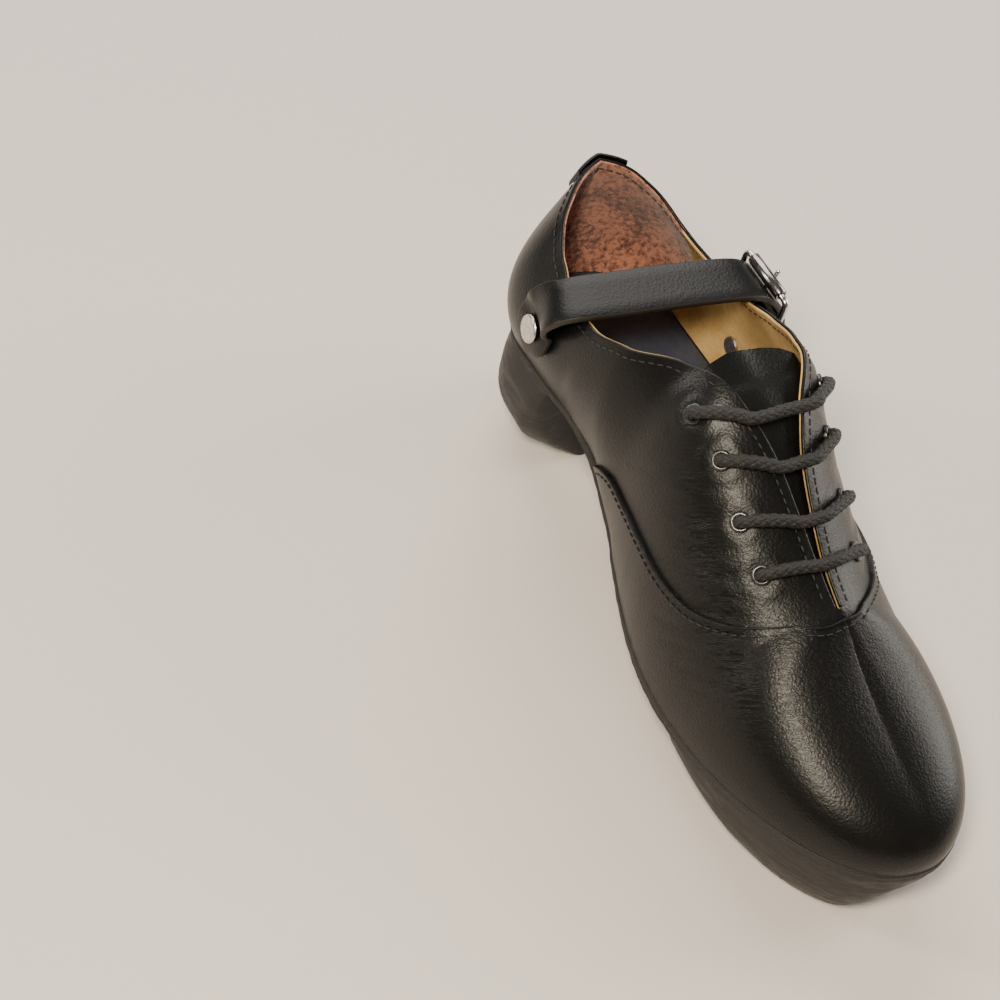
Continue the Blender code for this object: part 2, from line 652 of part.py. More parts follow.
def revolved(name, profile, centre, axis, finish, sides=ROUND_SIDES, hole=False):
    """A turned body: profile holds (radius, height) pairs, in order round its section."""
    turn = Vector(axis).normalized().to_track_quat("Z", "Y").to_matrix()
    rings = []
    for k in range(sides):
        angle = 2 * math.pi * k / sides
        ring = []
        for radius, height in profile:
            offset = turn @ Vector((radius * math.cos(angle), radius * math.sin(angle), height))
            ring.append(tuple(Vector(centre) + offset))
        rings.append(ring)
    count = len(profile)
    points = np.concatenate([np.array(r) for r in rings])
    faces = []
    for k in range(sides):
        a, b = k * count, ((k + 1) % sides) * count
        last = count if hole else count - 1
        for i in range(last):
            j = (i + 1) % count
            faces.append((a + i, a + j, b + j, b + i))
    return mesh_object(name, points, faces, finish)


def rod(radius, low, high):
    """Profile of a plain round rod with its two end faces."""
    return [(0, low), (radius, low), (radius, high), (0, high)]


def eyelet_places():
    """Centre, outward normal, station, side and table row of each eyelet."""
    places = []
    for side in ("medial", "lateral"):
        for pair in EYELET_PAIRS:
            station = station_of_x(pair.x * UPPER_LENGTH)
            up = share_below_edge(station, pair.inset * BALL_WIDTH, side)
            centre = last_surface(station, up, side)
            places.append((centre, surface_normal(station, up, side), station, side, pair))
    return places


def share_below_edge(station, distance, side):
    """The share up a section that lies this far below its top edge, measured over the leather."""
    ups = np.linspace(0, 1, 201)
    line = last_surface(station, ups, side)
    run = np.concatenate([[0], np.cumsum(np.linalg.norm(np.diff(line, axis=0), axis=1))])
    return float(np.interp(run[-1] - distance, run, ups))


def build_eyelets(upper, finish):
    """Flanged metal rings through the facings, with their holes."""
    flange_low = CURVED_GAP
    flange_high = CURVED_GAP + EYELET_THICKNESS
    profile = (
        (EYELET_HOLE / 2, -WALL - PIECE_GAP),
        (EYELET_BARREL / 2, -WALL - PIECE_GAP),
        (EYELET_BARREL / 2, flange_low),
        (EYELET_FLANGE / 2, flange_low),
        (EYELET_FLANGE / 2 * 0.9, flange_high),
        (EYELET_BARREL / 2, flange_high + EYELET_THICKNESS / 2),
        (EYELET_HOLE / 2, flange_high),
    )
    counts = {"medial": 0, "lateral": 0}
    for centre, normal, _, side, _ in eyelet_places():
        counts[side] += 1
        name = f"eyelet_{side}_{counts[side]}"
        revolved(name, profile, centre, normal, finish, hole=True)
        drill = rod(EYELET_BARREL / 2 + PIECE_GAP, -2 * WALL, 2 * WALL)
        boolean(upper, as_cutter(revolved(name + "_hole", drill, centre, normal, None)))


def tube(name, points, radius, finish):
    """A cord: a poly curve with a round bevel and filled caps."""
    curve = bpy.data.curves.new(name, "CURVE")
    curve.dimensions = "3D"
    spline = curve.splines.new("POLY")
    spline.points.add(len(points) - 1)
    for target, point in zip(spline.points, points):
        target.co = (point[0] - ORIGIN_X, point[1], point[2], 1)
    curve.bevel_depth = radius
    curve.bevel_resolution = 2
    curve.use_fill_caps = True
    curve.materials.append(finish)
    made = bpy.data.objects.new(name, curve)
    bpy.context.scene.collection.objects.link(made)
    return made


def smooth_path(points, count):
    """Points along a smooth curve through the given ones, spaced evenly by their own chord lengths."""
    points = np.asarray(points, float)
    run = np.concatenate([[0], np.cumsum(np.linalg.norm(np.diff(points, axis=0), axis=1))])
    wanted = np.linspace(0, run[-1], count)
    at = np.clip(np.searchsorted(run, wanted, "right") - 1, 0, len(points) - 2)
    t = ((wanted - run[at]) / (run[at + 1] - run[at]))[:, None]
    before = points[np.maximum(at - 1, 0)]
    after = points[np.minimum(at + 2, len(points) - 1)]
    here, there = points[at], points[at + 1]
    return 0.5 * (
        2 * here
        + (there - before) * t
        + (2 * before - 5 * here + 4 * there - after) * t**2
        + (3 * here - before - 3 * there + after) * t**3
    )


def lace_arm(place, lift):
    """Points of one lace strand, from over its eyelet to the edge of the facing."""
    _, _, station, side, pair = place
    points = []
    for share in (0.0, 0.22, 0.45, 0.70, 0.92):
        where = station + pair.crossing * share
        up = share_below_edge(where, pair.inset * BALL_WIDTH * (1 - share), side)
        raise_by = lift + (EYELET_THICKNESS * 1.5 if share == 0 else 0)
        points.append(last_surface(where, up, side) + surface_normal(where, up, side) * raise_by)
    return points


def build_lace(finish):
    """A straight bar at the lowest pair and three crossings above it, each one solid over the facings."""
    radius = CORD_DIAMETER / 2
    lift = radius + CURVED_GAP + EYELET_THICKNESS
    places = eyelet_places()
    half = len(places) // 2
    for k in range(half):
        medial, lateral = places[k], places[half + k]
        arms = [lace_arm(place, lift) for place in (medial, lateral)]
        middle = (arms[0][-1] + arms[1][-1]) / 2
        path = smooth_path(arms[0] + [middle] + arms[1][::-1], 26)
        name = "lace_bar" if k == half - 1 else f"lace_crossing_{k + 1}"
        tube(name, path, radius, finish)


def side_point(x, z, side, offset):
    """A point that stands off the quarter by a given distance, at this x and this height on the quarter."""
    station, up = station_at(x, z, side)
    normal = surface_normal(station, up, side)
    return last_surface(station, up, side) + normal * offset, normal


def round_end(distance, half):
    """Half width this far from a strap's round end."""
    if distance >= half:
        return half
    return max(STRAP_END_FLAT, math.sqrt(half**2 - (half - distance) ** 2))


def strap_rings(path, widthwise, half_at, thickness):
    """Cross-sections of a strap along its path, with the outward normal of each."""
    count = len(path)
    run = np.concatenate([[0], np.cumsum(np.linalg.norm(np.diff(path, axis=0), axis=1))])
    rings = []
    normals = []
    for i, centre in enumerate(path):
        along = Vector(path[min(i + 1, count - 1)] - path[max(i - 1, 0)]).normalized()
        width = Vector(widthwise(run[i] / run[-1]))
        width = (width - width.dot(along) * along).normalized()
        normal = width.cross(along)
        half = half_at(run[i], run[-1])
        corners = ((-1, -0.5), (1, -0.5), (1, 0.5), (-1, 0.5))
        rings.append([tuple(Vector(centre) + width * (a * half) + normal * (b * thickness)) for a, b in corners])
        normals.append(normal)
    return rings, normals


def end_spaced(path, half, both_ends, spacing):
    """Points evenly along a path, with more near a round end, so that its outline is round."""
    run = np.concatenate([[0], np.cumsum(np.linalg.norm(np.diff(path, axis=0), axis=1))])
    extra = half * (1 - np.cos(np.radians((0, 14, 28, 44, 62, 90))))
    middle = np.arange(extra[-1] + spacing, run[-1] - (extra[-1] * both_ends + spacing / 2), spacing)
    wanted = np.concatenate([extra, middle, (run[-1] - extra[::-1]) if both_ends else [run[-1]]])
    return np.stack([np.interp(wanted, run, path[:, k]) for k in range(3)], 1)


def swept(name, points, radius, finish, closed=False, sides=8):
    """A round bar along straight runs, mitred where they meet."""
    points = [Vector(p) for p in points]
    count = len(points)
    rings = []
    side = None
    for i, point in enumerate(points):
        before = points[(i - 1) % count] if closed or i else point
        after = points[(i + 1) % count] if closed or i < count - 1 else point
        into = (point - before).normalized() if before != point else (after - point).normalized()
        out = (after - point).normalized() if after != point else into
        along = (into + out).normalized()
        if side is None:
            side = into.orthogonal().normalized()
        side = (side - side.dot(into) * into).normalized()
        other = into.cross(side)
        ring = []
        for k in range(sides):
            angle = 2 * math.pi * k / sides
            offset = side * (radius * math.cos(angle)) + other * (radius * math.sin(angle))
            offset -= into * (offset.dot(along) / into.dot(along))
            ring.append(tuple(point + offset))
        side = (side - into * (side.dot(along) / into.dot(along)))
        rings.append(ring)
    flat = np.array(rings).reshape(-1, 3)
    faces = []
    for i in range(count if closed else count - 1):
        a, b = i * sides, ((i + 1) % count) * sides
        for k in range(sides):
            j = (k + 1) % sides
            faces.append((a + k, a + j, b + j, b + k))
    if not closed:
        faces.append(tuple(range(sides)))
        faces.append(tuple(range((count - 1) * sides, count * sides)))
    return mesh_object(name, flat, faces, finish)


def as_cutter(made):
    made.hide_render = True
    made.display_type = "WIRE"
    return made


def build_rivet(name, x, z, side, strap_face, strap, upper, finish):
    """A rivet through a strap's tab and the quarter: head outside, washer inside, holes in both."""
    centre, normal = side_point(x, z, side, 0.0)
    washer = -WALL - CURVED_GAP
    head = strap_face + RIVET_HEAD_GAP
    profile = (
        (0, washer - RIVET_WASHER_HEIGHT),
        (RIVET_WASHER / 2, washer - RIVET_WASHER_HEIGHT),
        (RIVET_WASHER / 2, washer),
        (RIVET_SHANK / 2, washer),
        (RIVET_SHANK / 2, head),
        (RIVET_HEAD / 2, head),
        (RIVET_HEAD / 2 * 0.97, head + RIVET_HEAD_HEIGHT * 0.6),
        (RIVET_HEAD / 2 * 0.80, head + RIVET_HEAD_HEIGHT),
        (0, head + RIVET_HEAD_HEIGHT),
    )
    revolved(name, profile, centre, normal, finish)
    drill = rod(RIVET_SHANK / 2 + PIECE_GAP, washer - RIVET_SHANK, head + RIVET_SHANK)
    hole = as_cutter(revolved(name + "_hole", drill, centre, normal, None))
    boolean(upper, hole)
    boolean(strap, hole)


def build_long_strap(finish):
    """The strap from its medial tab over the instep, under the buckle's top bar and down the lateral side."""
    lying = CURVED_GAP + PIECE_GAP + STRAP_THICKNESS / 2
    tab = [
        side_point(RIVET_MEDIAL_X, RIVET_MEDIAL_Z + rise, "medial", lying)[0]
        for rise in (-TAB_WIDTH / 2, -0.0045, 0.0, 0.0040)
    ]
    tail = []
    for rise, out in STRAP_TAIL:
        z = SEAT_HEIGHT + rise * COLLAR_RISE
        tail.append(side_point(BUCKLE_X, z, "lateral", lying + out * TAIL_STAND)[0])
    over = []
    for row in STRAP_OVER:
        over.append(np.array((row.x * UPPER_LENGTH, row.y * BALL_WIDTH, SEAT_HEIGHT + row.rise * COLLAR_RISE)))
    path = smooth_path(tab + over + tail, 160)
    path = end_spaced(path, TAB_WIDTH / 2, True, STRAP_SPACING)

    def half_at(run, length):
        wider = float(eased(run, SHOULDER_START, SHOULDER_START + SHOULDER_LENGTH))
        start = TAB_WIDTH / 2 + (STRAP_WIDTH - TAB_WIDTH) / 2 * wider
        return min(start, round_end(run, TAB_WIDTH / 2), round_end(length - run, STRAP_WIDTH / 2))

    def lie(share):
        slant = STRAP_SLANT * float(eased(share, 0.08, 0.20) * (1 - eased(share, 0.30, 0.70)))
        return (1, -slant, 0)

    rings, normals = strap_rings(path, lie, half_at, STRAP_THICKNESS)
    points, faces = ring_loft(rings)
    return mesh_object("strap_long", points, faces, finish), path, normals


def build_buckle(long_strap, path, normals, leather, steel):
    """The frame and its roller over the long strap, the short strap folded round its lower bar, the prong."""
    def nearest(z):
        tail = [i for i, p in enumerate(path) if p[1] > 0.030]
        return min(tail, key=lambda i: abs(path[i][2] - z))

    top = nearest(BUCKLE_TOP_Z)
    out = Vector(normals[top])
    bar = BUCKLE_WIRE / 2
    roller = ROLLER_DIAMETER / 2
    top_bar = Vector(path[top]) + out * (STRAP_THICKNESS / 2 + PIECE_GAP + roller)
    lying = CURVED_GAP + PIECE_GAP + SHORT_THICKNESS / 2
    fold = bar + PIECE_GAP + SHORT_THICKNESS / 2
    hinge, hinge_out = side_point(BUCKLE_X, HINGE_Z, "lateral", lying + fold)
    hinge = Vector(hinge)
    hinge_out = Vector(hinge_out)
    reach = Vector((STRAP_WIDTH / 2 + BUCKLE_SIDE_GAP + bar, 0, 0))
    side_arm = (hinge - top_bar).normalized() * (2 * bar)
    corner = Vector((2 * bar, 0, 0))
    half = (top_bar - reach + side_arm, top_bar - reach + corner, top_bar + reach - corner, top_bar + reach + side_arm)
    low = (hinge + reach - side_arm, hinge + reach - corner, hinge - reach + corner, hinge - reach - side_arm)
    swept("buckle_frame", half + low, bar, steel, True)
    hollow = bar + ROLLER_GAP
    tube_wall = [(hollow, -ROLLER_LENGTH / 2), (roller, -ROLLER_LENGTH / 2)]
    tube_wall += [(roller, ROLLER_LENGTH / 2), (hollow, ROLLER_LENGTH / 2)]
    revolved("buckle_roller", tube_wall, top_bar, (1, 0, 0), steel, hole=True)

    up = hinge_out.cross(Vector((-1, 0, 0))).normalized()
    if up.z < 0:
        up = -up
    short = [
        side_point(BUCKLE_X, SHORT_RIVET_Z + rise, "lateral", lying)[0]
        for rise in (-TAB_WIDTH / 2, -0.004, 0.0, 0.004, 0.008)
    ]
    for angle in np.radians(np.linspace(-90, 130, 9)):
        short.append(np.array(hinge + (hinge_out * math.sin(angle) + up * math.cos(angle)) * fold))
    short_path = smooth_path(short, 90)
    short_path = end_spaced(short_path, TAB_WIDTH / 2, False, FOLD_SPACING)
    short_rings, _ = strap_rings(short_path, lambda share: (1, 0, 0),
                                 lambda run, length: round_end(run, TAB_WIDTH / 2), SHORT_THICKNESS)
    points, faces = ring_loft(short_rings)
    short_strap = mesh_object("strap_buckle", points, faces, leather)

    pin = PRONG_DIAMETER / 2
    low = nearest(HINGE_Z + PRONG_START)
    under = Vector(path[low]) - Vector(normals[low]) * (STRAP_THICKNESS / 2 + PIECE_GAP + pin)
    clear = roller + 2 * PIECE_GAP + pin
    straight = top_bar - under
    lift_angle = math.asin(clear / straight.length)
    away = (Matrix.Rotation(lift_angle, 3, "X") @ straight).normalized()
    other_way = (Matrix.Rotation(-lift_angle, 3, "X") @ straight).normalized()
    if other_way.dot(out) > away.dot(out):
        away = other_way
    tip = under + away * (math.sqrt(straight.length**2 - clear**2) + PRONG_TIP)
    swept("buckle_prong", (under, tip), pin, steel)
    slot = swept("prong_slot", (under - away * pin, tip), pin + 2 * PIECE_GAP, None)
    boolean(long_strap, as_cutter(slot))
    return short_strap


def build_back_tab(finish):
    """The small stitched piece that covers the seam at the back of the collar."""
    reach = BACK_TAB_WIDTH / 2 / float(section(0.0, "medial")["top"])
    last = math.degrees(reach) / (MEDIAL[0].turn - MEDIAL[1].turn)
    columns = [("lateral", s) for s in np.linspace(last, 0, 5)]
    columns += [("medial", s) for s in np.linspace(0, last, 5)[1:]]
    rings = []
    for side, station in columns:
        inner = []
        outer = []
        for share in (0.0, 0.5, 1.0):
            up = share_below_edge(station, BACK_TAB_HEIGHT * (1 - share), side)
            point = last_surface(station, up, side)
            normal = surface_normal(station, min(up, 0.98), side)
            inner.append(point + normal * CURVED_GAP)
            outer.append(point + normal * (CURVED_GAP + BACK_TAB_THICKNESS))
        rise = np.array((0, 0, BACK_TAB_THICKNESS))
        rings.append(inner + [inner[-1] + rise, outer[-1] + rise] + outer[::-1])
    points, faces = ring_loft(rings)
    return mesh_object("back_tab", points, faces, finish)


def main():
    for old in list(bpy.data.objects):
        bpy.data.objects.remove(old, do_unlink=True)
    leather = material("black_leather", (0.012, 0.012, 0.013), 0.38)
    sole_leather = material("black_sole", (0.016, 0.015, 0.014), 0.75)
    block = material("fibreglass", (0.045, 0.044, 0.040), 0.60)
    lining = material("tan_insole", (0.45, 0.32, 0.16), 0.70)
    steel = material("nickel_steel", (0.72, 0.71, 0.69), 0.28, 1.0)
    dark_steel = material("black_steel", (0.05, 0.05, 0.05), 0.35, 1.0)
    cord = material("black_cord", (0.014, 0.014, 0.015), 0.80)

    upper = build_upper(leather)
    build_sole(sole_leather)
    build_insole(lining)
    build_tip(block)
    build_heel(block)
    build_tongue(leather)
    build_eyelets(upper, dark_steel)
    build_lace(cord)
    long_strap, path, normals = build_long_strap(leather)
    short_strap = build_buckle(long_strap, path, normals, leather, steel)
    strap_face = CURVED_GAP + PIECE_GAP + STRAP_THICKNESS
    build_rivet("rivet_medial", RIVET_MEDIAL_X, RIVET_MEDIAL_Z, "medial", strap_face, long_strap, upper, steel)
    strap_face = CURVED_GAP + PIECE_GAP + SHORT_THICKNESS
    build_rivet("rivet_lateral", BUCKLE_X, SHORT_RIVET_Z, "lateral", strap_face, short_strap, upper, steel)
    build_back_tab(leather)


main()
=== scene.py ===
# Looks of the Irish dance hard shoe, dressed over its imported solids. Metres, +X to the toe, +Z up.
# The surfaces are measured from the rearmost point of the upper, as the solids are, and moved by originX.
# Medial is the inner side of the foot, lateral the outer side.
import math
from collections import namedtuple

import bmesh
import bpy
import numpy as np
from mathutils import Matrix, Vector


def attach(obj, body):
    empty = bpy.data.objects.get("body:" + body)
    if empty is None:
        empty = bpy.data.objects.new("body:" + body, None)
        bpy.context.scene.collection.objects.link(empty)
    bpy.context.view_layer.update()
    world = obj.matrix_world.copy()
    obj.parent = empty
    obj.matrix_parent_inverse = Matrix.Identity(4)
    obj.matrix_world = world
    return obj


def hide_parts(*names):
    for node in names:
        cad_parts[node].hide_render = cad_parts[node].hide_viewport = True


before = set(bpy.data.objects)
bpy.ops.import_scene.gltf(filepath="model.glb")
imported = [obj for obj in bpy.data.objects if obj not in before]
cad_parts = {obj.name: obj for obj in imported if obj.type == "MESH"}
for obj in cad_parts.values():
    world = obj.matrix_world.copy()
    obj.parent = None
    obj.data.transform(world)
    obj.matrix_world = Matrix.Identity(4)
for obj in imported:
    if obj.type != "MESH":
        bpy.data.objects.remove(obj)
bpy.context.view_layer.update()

last = dict(
    length=0.252, ball=0.084, seat=0.0465, tread=0.0217, toe=0.0358, collar=0.088, toeRise=0.052,
    fan=0.131 * 0.252, throat=0.708 * 0.252, axisShift=-0.0020, slit=0.0012,
    shankStart=0.058, shankEnd=0.112, spring=0.162, wing=7, toeLean=0.60,
    roundness={"medial": 2.12, "lateral": 1.95},
)
originX = 0.029
wall = 0.0020
vampStep = 0.0012
pieceGap = 0.0003
curvedGap = 0.0005
doubledPoints, sideSeam = 2e-6, 2e-5  # points closer than this become one

# One row is one lasted section. x is a share of the length, turn is degrees from the toe, rise is a share of
# the collar's rise; full, drop and seam are shares of the section's height, the rest of the ball's width.
Section = namedtuple("Section", "x turn reach bulge full top rise lean drop seam")
medialRows = (
    Section(0.131, 180, 0.370, 0.060, 0.42, 0.333, 0.660, 0.050, 0.32, 0.40),
    Section(0.131, 160, 0.375, 0.070, 0.42, 0.305, 0.642, 0.075, 0.32, 0.40),
    Section(0.131, 135, 0.385, 0.090, 0.42, 0.285, 0.602, 0.110, 0.32, 0.40),
    Section(0.131, 110, 0.385, 0.115, 0.42, 0.290, 0.555, 0.140, 0.32, 0.40),
    Section(0.131, 90, 0.375, 0.125, 0.42, 0.315, 0.515, 0.130, 0.32, 0.38),
    Section(0.198, 90, 0.362, 0.130, 0.42, 0.375, 0.500, 0.095, 0.32, 0.33),
    Section(0.262, 90, 0.335, 0.135, 0.43, 0.390, 0.560, 0.065, 0.32, 0.27),
    Section(0.325, 90, 0.298, 0.145, 0.45, 0.355, 0.735, 0.100, 0.30, 0.22),
    Section(0.389, 90, 0.308, 0.145, 0.46, 0.220, 0.920, 0.180, 0.22, 0.36),
    Section(0.437, 90, 0.350, 0.125, 0.49, 0.145, 1.000, 0.235, 0.10, 0.39),
    Section(0.484, 90, 0.400, 0.085, 0.50, 0.095, 0.955, 0.290, 0.05, 0.42),
    Section(0.548, 90, 0.456, 0.042, 0.52, 0.044, 0.852, 0.345, 0.02, 0.48),
    Section(0.611, 90, 0.488, 0.018, 0.53, 0.026, 0.745, 0.365, 0.01, 0.59),
    Section(0.667, 90, 0.496, 0.012, 0.54, 0.018, 0.655, 0.345, 0.02, 0.76),
    Section(0.708, 90, 0.496, 0.012, 0.55, last["slit"] / last["ball"], 0.585, 0.330, 0.05, 0.94),
)
lateralRows = (
    Section(0.131, 180, 0.370, 0.060, 0.42, 0.333, 0.660, 0.050, 0.32, 0.40),
    Section(0.131, 160, 0.370, 0.065, 0.42, 0.298, 0.640, 0.060, 0.32, 0.40),
    Section(0.131, 135, 0.365, 0.080, 0.42, 0.268, 0.592, 0.080, 0.32, 0.40),
    Section(0.131, 110, 0.360, 0.095, 0.42, 0.262, 0.535, 0.100, 0.32, 0.40),
    Section(0.131, 90, 0.358, 0.105, 0.42, 0.280, 0.490, 0.100, 0.32, 0.38),
    Section(0.198, 90, 0.366, 0.105, 0.42, 0.318, 0.470, 0.080, 0.32, 0.33),
    Section(0.262, 90, 0.376, 0.095, 0.43, 0.335, 0.515, 0.070, 0.32, 0.27),
    Section(0.325, 90, 0.386, 0.085, 0.45, 0.325, 0.690, 0.095, 0.30, 0.22),
    Section(0.389, 90, 0.396, 0.080, 0.46, 0.290, 0.890, 0.120, 0.22, 0.36),
    Section(0.437, 90, 0.412, 0.070, 0.48, 0.225, 0.990, 0.150, 0.14, 0.39),
    Section(0.484, 90, 0.428, 0.055, 0.50, 0.138, 0.955, 0.180, 0.10, 0.42),
    Section(0.548, 90, 0.446, 0.035, 0.52, 0.066, 0.852, 0.195, 0.07, 0.48),
    Section(0.611, 90, 0.456, 0.020, 0.53, 0.034, 0.745, 0.200, 0.06, 0.59),
    Section(0.667, 90, 0.448, 0.008, 0.54, 0.018, 0.655, 0.185, 0.06, 0.76),
    Section(0.708, 90, 0.442, 0.006, 0.55, last["slit"] / last["ball"], 0.585, 0.180, 0.07, 0.94),
)
# One row is one section of the toe box: around is its share of the quarter turn from the ball to the toe.
ToeSection = namedtuple("ToeSection", "around bulge full lean drop seam")
toeRows = (
    ToeSection(0.00, 0.012, 0.55, 0.330, 0.05, 0.940),
    ToeSection(0.25, 0.018, 0.54, 0.330, 0.13, 0.952),
    ToeSection(0.50, 0.020, 0.54, 0.340, 0.29, 0.955),
    ToeSection(0.75, 0.020, 0.54, 0.362, 0.48, 0.958),
    ToeSection(1.00, 0.020, 0.54, 0.378, 0.61, 0.960),
)
backSections = len(medialRows) - 1
toeSections = len(toeRows) - 1
lastStation = backSections + toeSections
sides = ("medial", "lateral")


# The last's surface
# A smooth curve through the known values that never overshoots them.
def fair(known, values, wanted):
    known = np.asarray(known, float)
    values = np.asarray(values, float)
    step = np.diff(known)
    slope = np.diff(values) / step
    before = 2 * step[1:] + step[:-1]
    after = step[1:] + 2 * step[:-1]
    same = slope[:-1] * slope[1:] > 0
    safe = np.where(same, slope[:-1], 1), np.where(same, slope[1:], 1)
    tangent = np.empty_like(values)
    tangent[0] = slope[0]
    tangent[-1] = slope[-1]
    tangent[1:-1] = np.where(same, (before + after) / (before / safe[0] + after / safe[1]), 0)
    at = np.clip(np.searchsorted(known, wanted, "right") - 1, 0, len(step) - 1)
    t = (wanted - known[at]) / step[at]
    return (
        (2 * t**3 - 3 * t**2 + 1) * values[at]
        + (t**3 - 2 * t**2 + t) * step[at] * tangent[at]
        + (3 * t**2 - 2 * t**3) * values[at + 1]
        + (t**3 - t**2) * step[at] * tangent[at + 1]
    )


# 0 before start, 1 after end, with a level start and finish.
def eased(x, start, end):
    share = np.clip((np.asarray(x, float) - start) / (end - start), 0, 1)
    return share**2 * (3 - 2 * share)


# Vectors divided by their lengths.
def unit(vectors):
    return vectors / np.maximum(np.linalg.norm(vectors, axis=-1, keepdims=True), 1e-12)


# Length along a path up to each of its points: the running sum of the steps between them.
def runAlong(path):
    return np.concatenate([[0], np.cumsum(np.linalg.norm(np.diff(path, axis=0), axis=1))])


# Height of the upper's bottom edge: level under the heel, down the shank, flat, then toe spring.
def bottomHeight(x):
    x = np.asarray(x, float)
    fall = eased(x, last["shankStart"], last["shankEnd"])
    up = np.clip((x - last["spring"]) / (last["length"] - last["spring"]), 0, 1)
    spring = np.sin(up * math.pi / 2) ** 1.5
    return last["seat"] + (last["tread"] - last["seat"]) * fall + (last["toe"] - last["tread"]) * spring


# The lacing line leans a little to the medial side towards the throat.
def axisY(x):
    return last["axisShift"] * np.clip((x - last["fan"]) / (last["throat"] - last["fan"]), 0, 1)


# The section's values in metres at any station, also between two rows of the tables. In the toe box the reach
# is a rounded quarter outline: (|cos turn / length|^power + |sin turn / half width|^power)^(-1 / power), and
# what the last row of the tables still differs by fades as (1 - around)^2.
def section(station, side):
    station = np.asarray(station, float)
    table = medialRows if side == "medial" else lateralRows
    back = np.clip(station, 0, backSections)
    around = np.clip((station - backSections) / toeSections, 0, 1)
    inToe = station > backSections
    value = {}
    for name in Section._fields:
        column = [getattr(row, name) for row in table]
        if name in ("x", "turn"):
            value[name] = np.interp(back, range(len(table)), column)
        else:
            value[name] = fair(range(len(table)), column, back)
    for name in ToeSection._fields[1:]:
        column = fair([row.around for row in toeRows], [getattr(row, name) for row in toeRows], around)
        if name == "lean" and side == "lateral":
            column = column * (last["toeLean"] + (1 - last["toeLean"]) * around**2 * (3 - 2 * around))
        start = getattr(toeRows[0], name) * (last["toeLean"] if name == "lean" and side == "lateral" else 1)
        column = column + (getattr(table[-1], name) - start) * (1 - around) ** 2
        value[name] = np.where(inToe, column, value[name])
    turn = np.radians(np.where(inToe, 90 * (1 - around), value["turn"]))
    toeLength = last["length"] - last["throat"] - vampStep
    power = last["roundness"][side]
    half = table[-1].reach * last["ball"]
    forward, sideways = np.abs(np.cos(turn) / toeLength), np.abs(np.sin(turn) / half)
    toeReach = (forward**power + sideways**power) ** (-1 / power)
    reach = np.where(inToe, toeReach, value["reach"] * last["ball"])
    axis = value["x"] * last["length"]
    throatZ = bottomHeight(last["throat"]) + last["toeRise"]
    topZ = bottomHeight(axis) + value["rise"] * last["collar"]
    lastZ = bottomHeight(last["throat"]) + table[-1].rise * last["collar"]
    nearThroat = np.clip((station - last["wing"]) / (backSections - last["wing"]), 0, 1)
    return dict(
        axis=axis, turn=turn, reach=reach, bottom=bottomHeight(axis + reach * np.cos(turn)),
        bulge=value["bulge"] * last["ball"], full=value["full"], top=value["top"] * last["ball"],
        topZ=topZ + nearThroat * (throatZ - lastZ), lean=value["lean"] * last["ball"],
        drop=value["drop"], seam=value["seam"],
    )


# A point of the lasted form, a cubic in up between the section's four handles: up is 0 at the bottom edge and
# 1 at the collar or facing edge.
def lastPoint(station, up, side):
    s = section(station, side)
    up = np.asarray(up, float)
    height = s["topZ"] - s["bottom"]
    outs = (s["reach"], s["reach"] + s["bulge"], s["top"] + s["lean"], s["top"])
    ups = (s["bottom"], s["bottom"] + s["full"] * height, s["topZ"] - s["drop"] * height, s["topZ"])
    weights = ((1 - up) ** 3, 3 * (1 - up) ** 2 * up, 3 * (1 - up) * up**2, up**3)
    out = sum(w * o for w, o in zip(weights, outs))
    z = sum(w * h for w, h in zip(weights, ups))
    sign = -1 if side == "medial" else 1
    x = s["axis"] + out * np.cos(s["turn"])
    y = axisY(s["axis"]) + sign * out * np.sin(s["turn"])
    return np.stack(np.broadcast_arrays(x, y, z), -1)


# Outward unit normal of the lasted form: the cross product of its slopes along the stations and up a section.
def lastNormal(station, up, side):
    nudge = 1e-3
    along = lastPoint(station + nudge, up, side) - lastPoint(station - nudge, up, side)
    low = np.clip(np.asarray(up) - nudge, 0, 1)
    high = np.clip(np.asarray(up) + nudge, 0, 1)
    upward = lastPoint(station, high, side) - lastPoint(station, low, side)
    normal = np.cross(along, upward) if side == "medial" else np.cross(upward, along)
    return unit(normal)


# Shares up a section, its points, and how far each is from the bottom edge over the leather.
def sectionLine(station, side):
    ups = np.linspace(0, 1, 161)
    line = lastPoint(station, ups, side)
    return ups, line, runAlong(line)


# The share up a section at which it reaches a height.
def shareAtHeight(station, z, side):
    ups, line, _ = sectionLine(station, side)
    return float(np.interp(z, line[:, 2], ups))


# The share up a section that lies a distance below its top edge, over the leather.
def shareBelowEdge(station, distance, side):
    ups, _, run = sectionLine(station, side)
    return float(np.interp(run[-1] - distance, run, ups))


# The station, and the share up it, whose surface point has this x and this height, by halving the range.
def stationAt(x, z, side):
    low, high = 4.0, float(backSections)
    for _ in range(40):
        middle = (low + high) / 2
        found = lastPoint(middle, shareAtHeight(middle, z, side), side)[0]
        low, high = (middle, high) if found < x else (low, middle)
    return low, shareAtHeight(low, z, side)


# The station of a section ahead of the wing from its axis's x.
def stationOfX(x):
    known = [row.x * last["length"] for row in medialRows[last["wing"]:]]
    return float(np.interp(x, known, np.arange(last["wing"], backSections + 1)))


# A point that stands off the quarter by a given distance, at this x and this height on the quarter.
def sidePoint(x, z, side, offset):
    station, up = stationAt(x, z, side)
    normal = lastNormal(station, up, side)
    return lastPoint(station, up, side) + normal * offset, normal


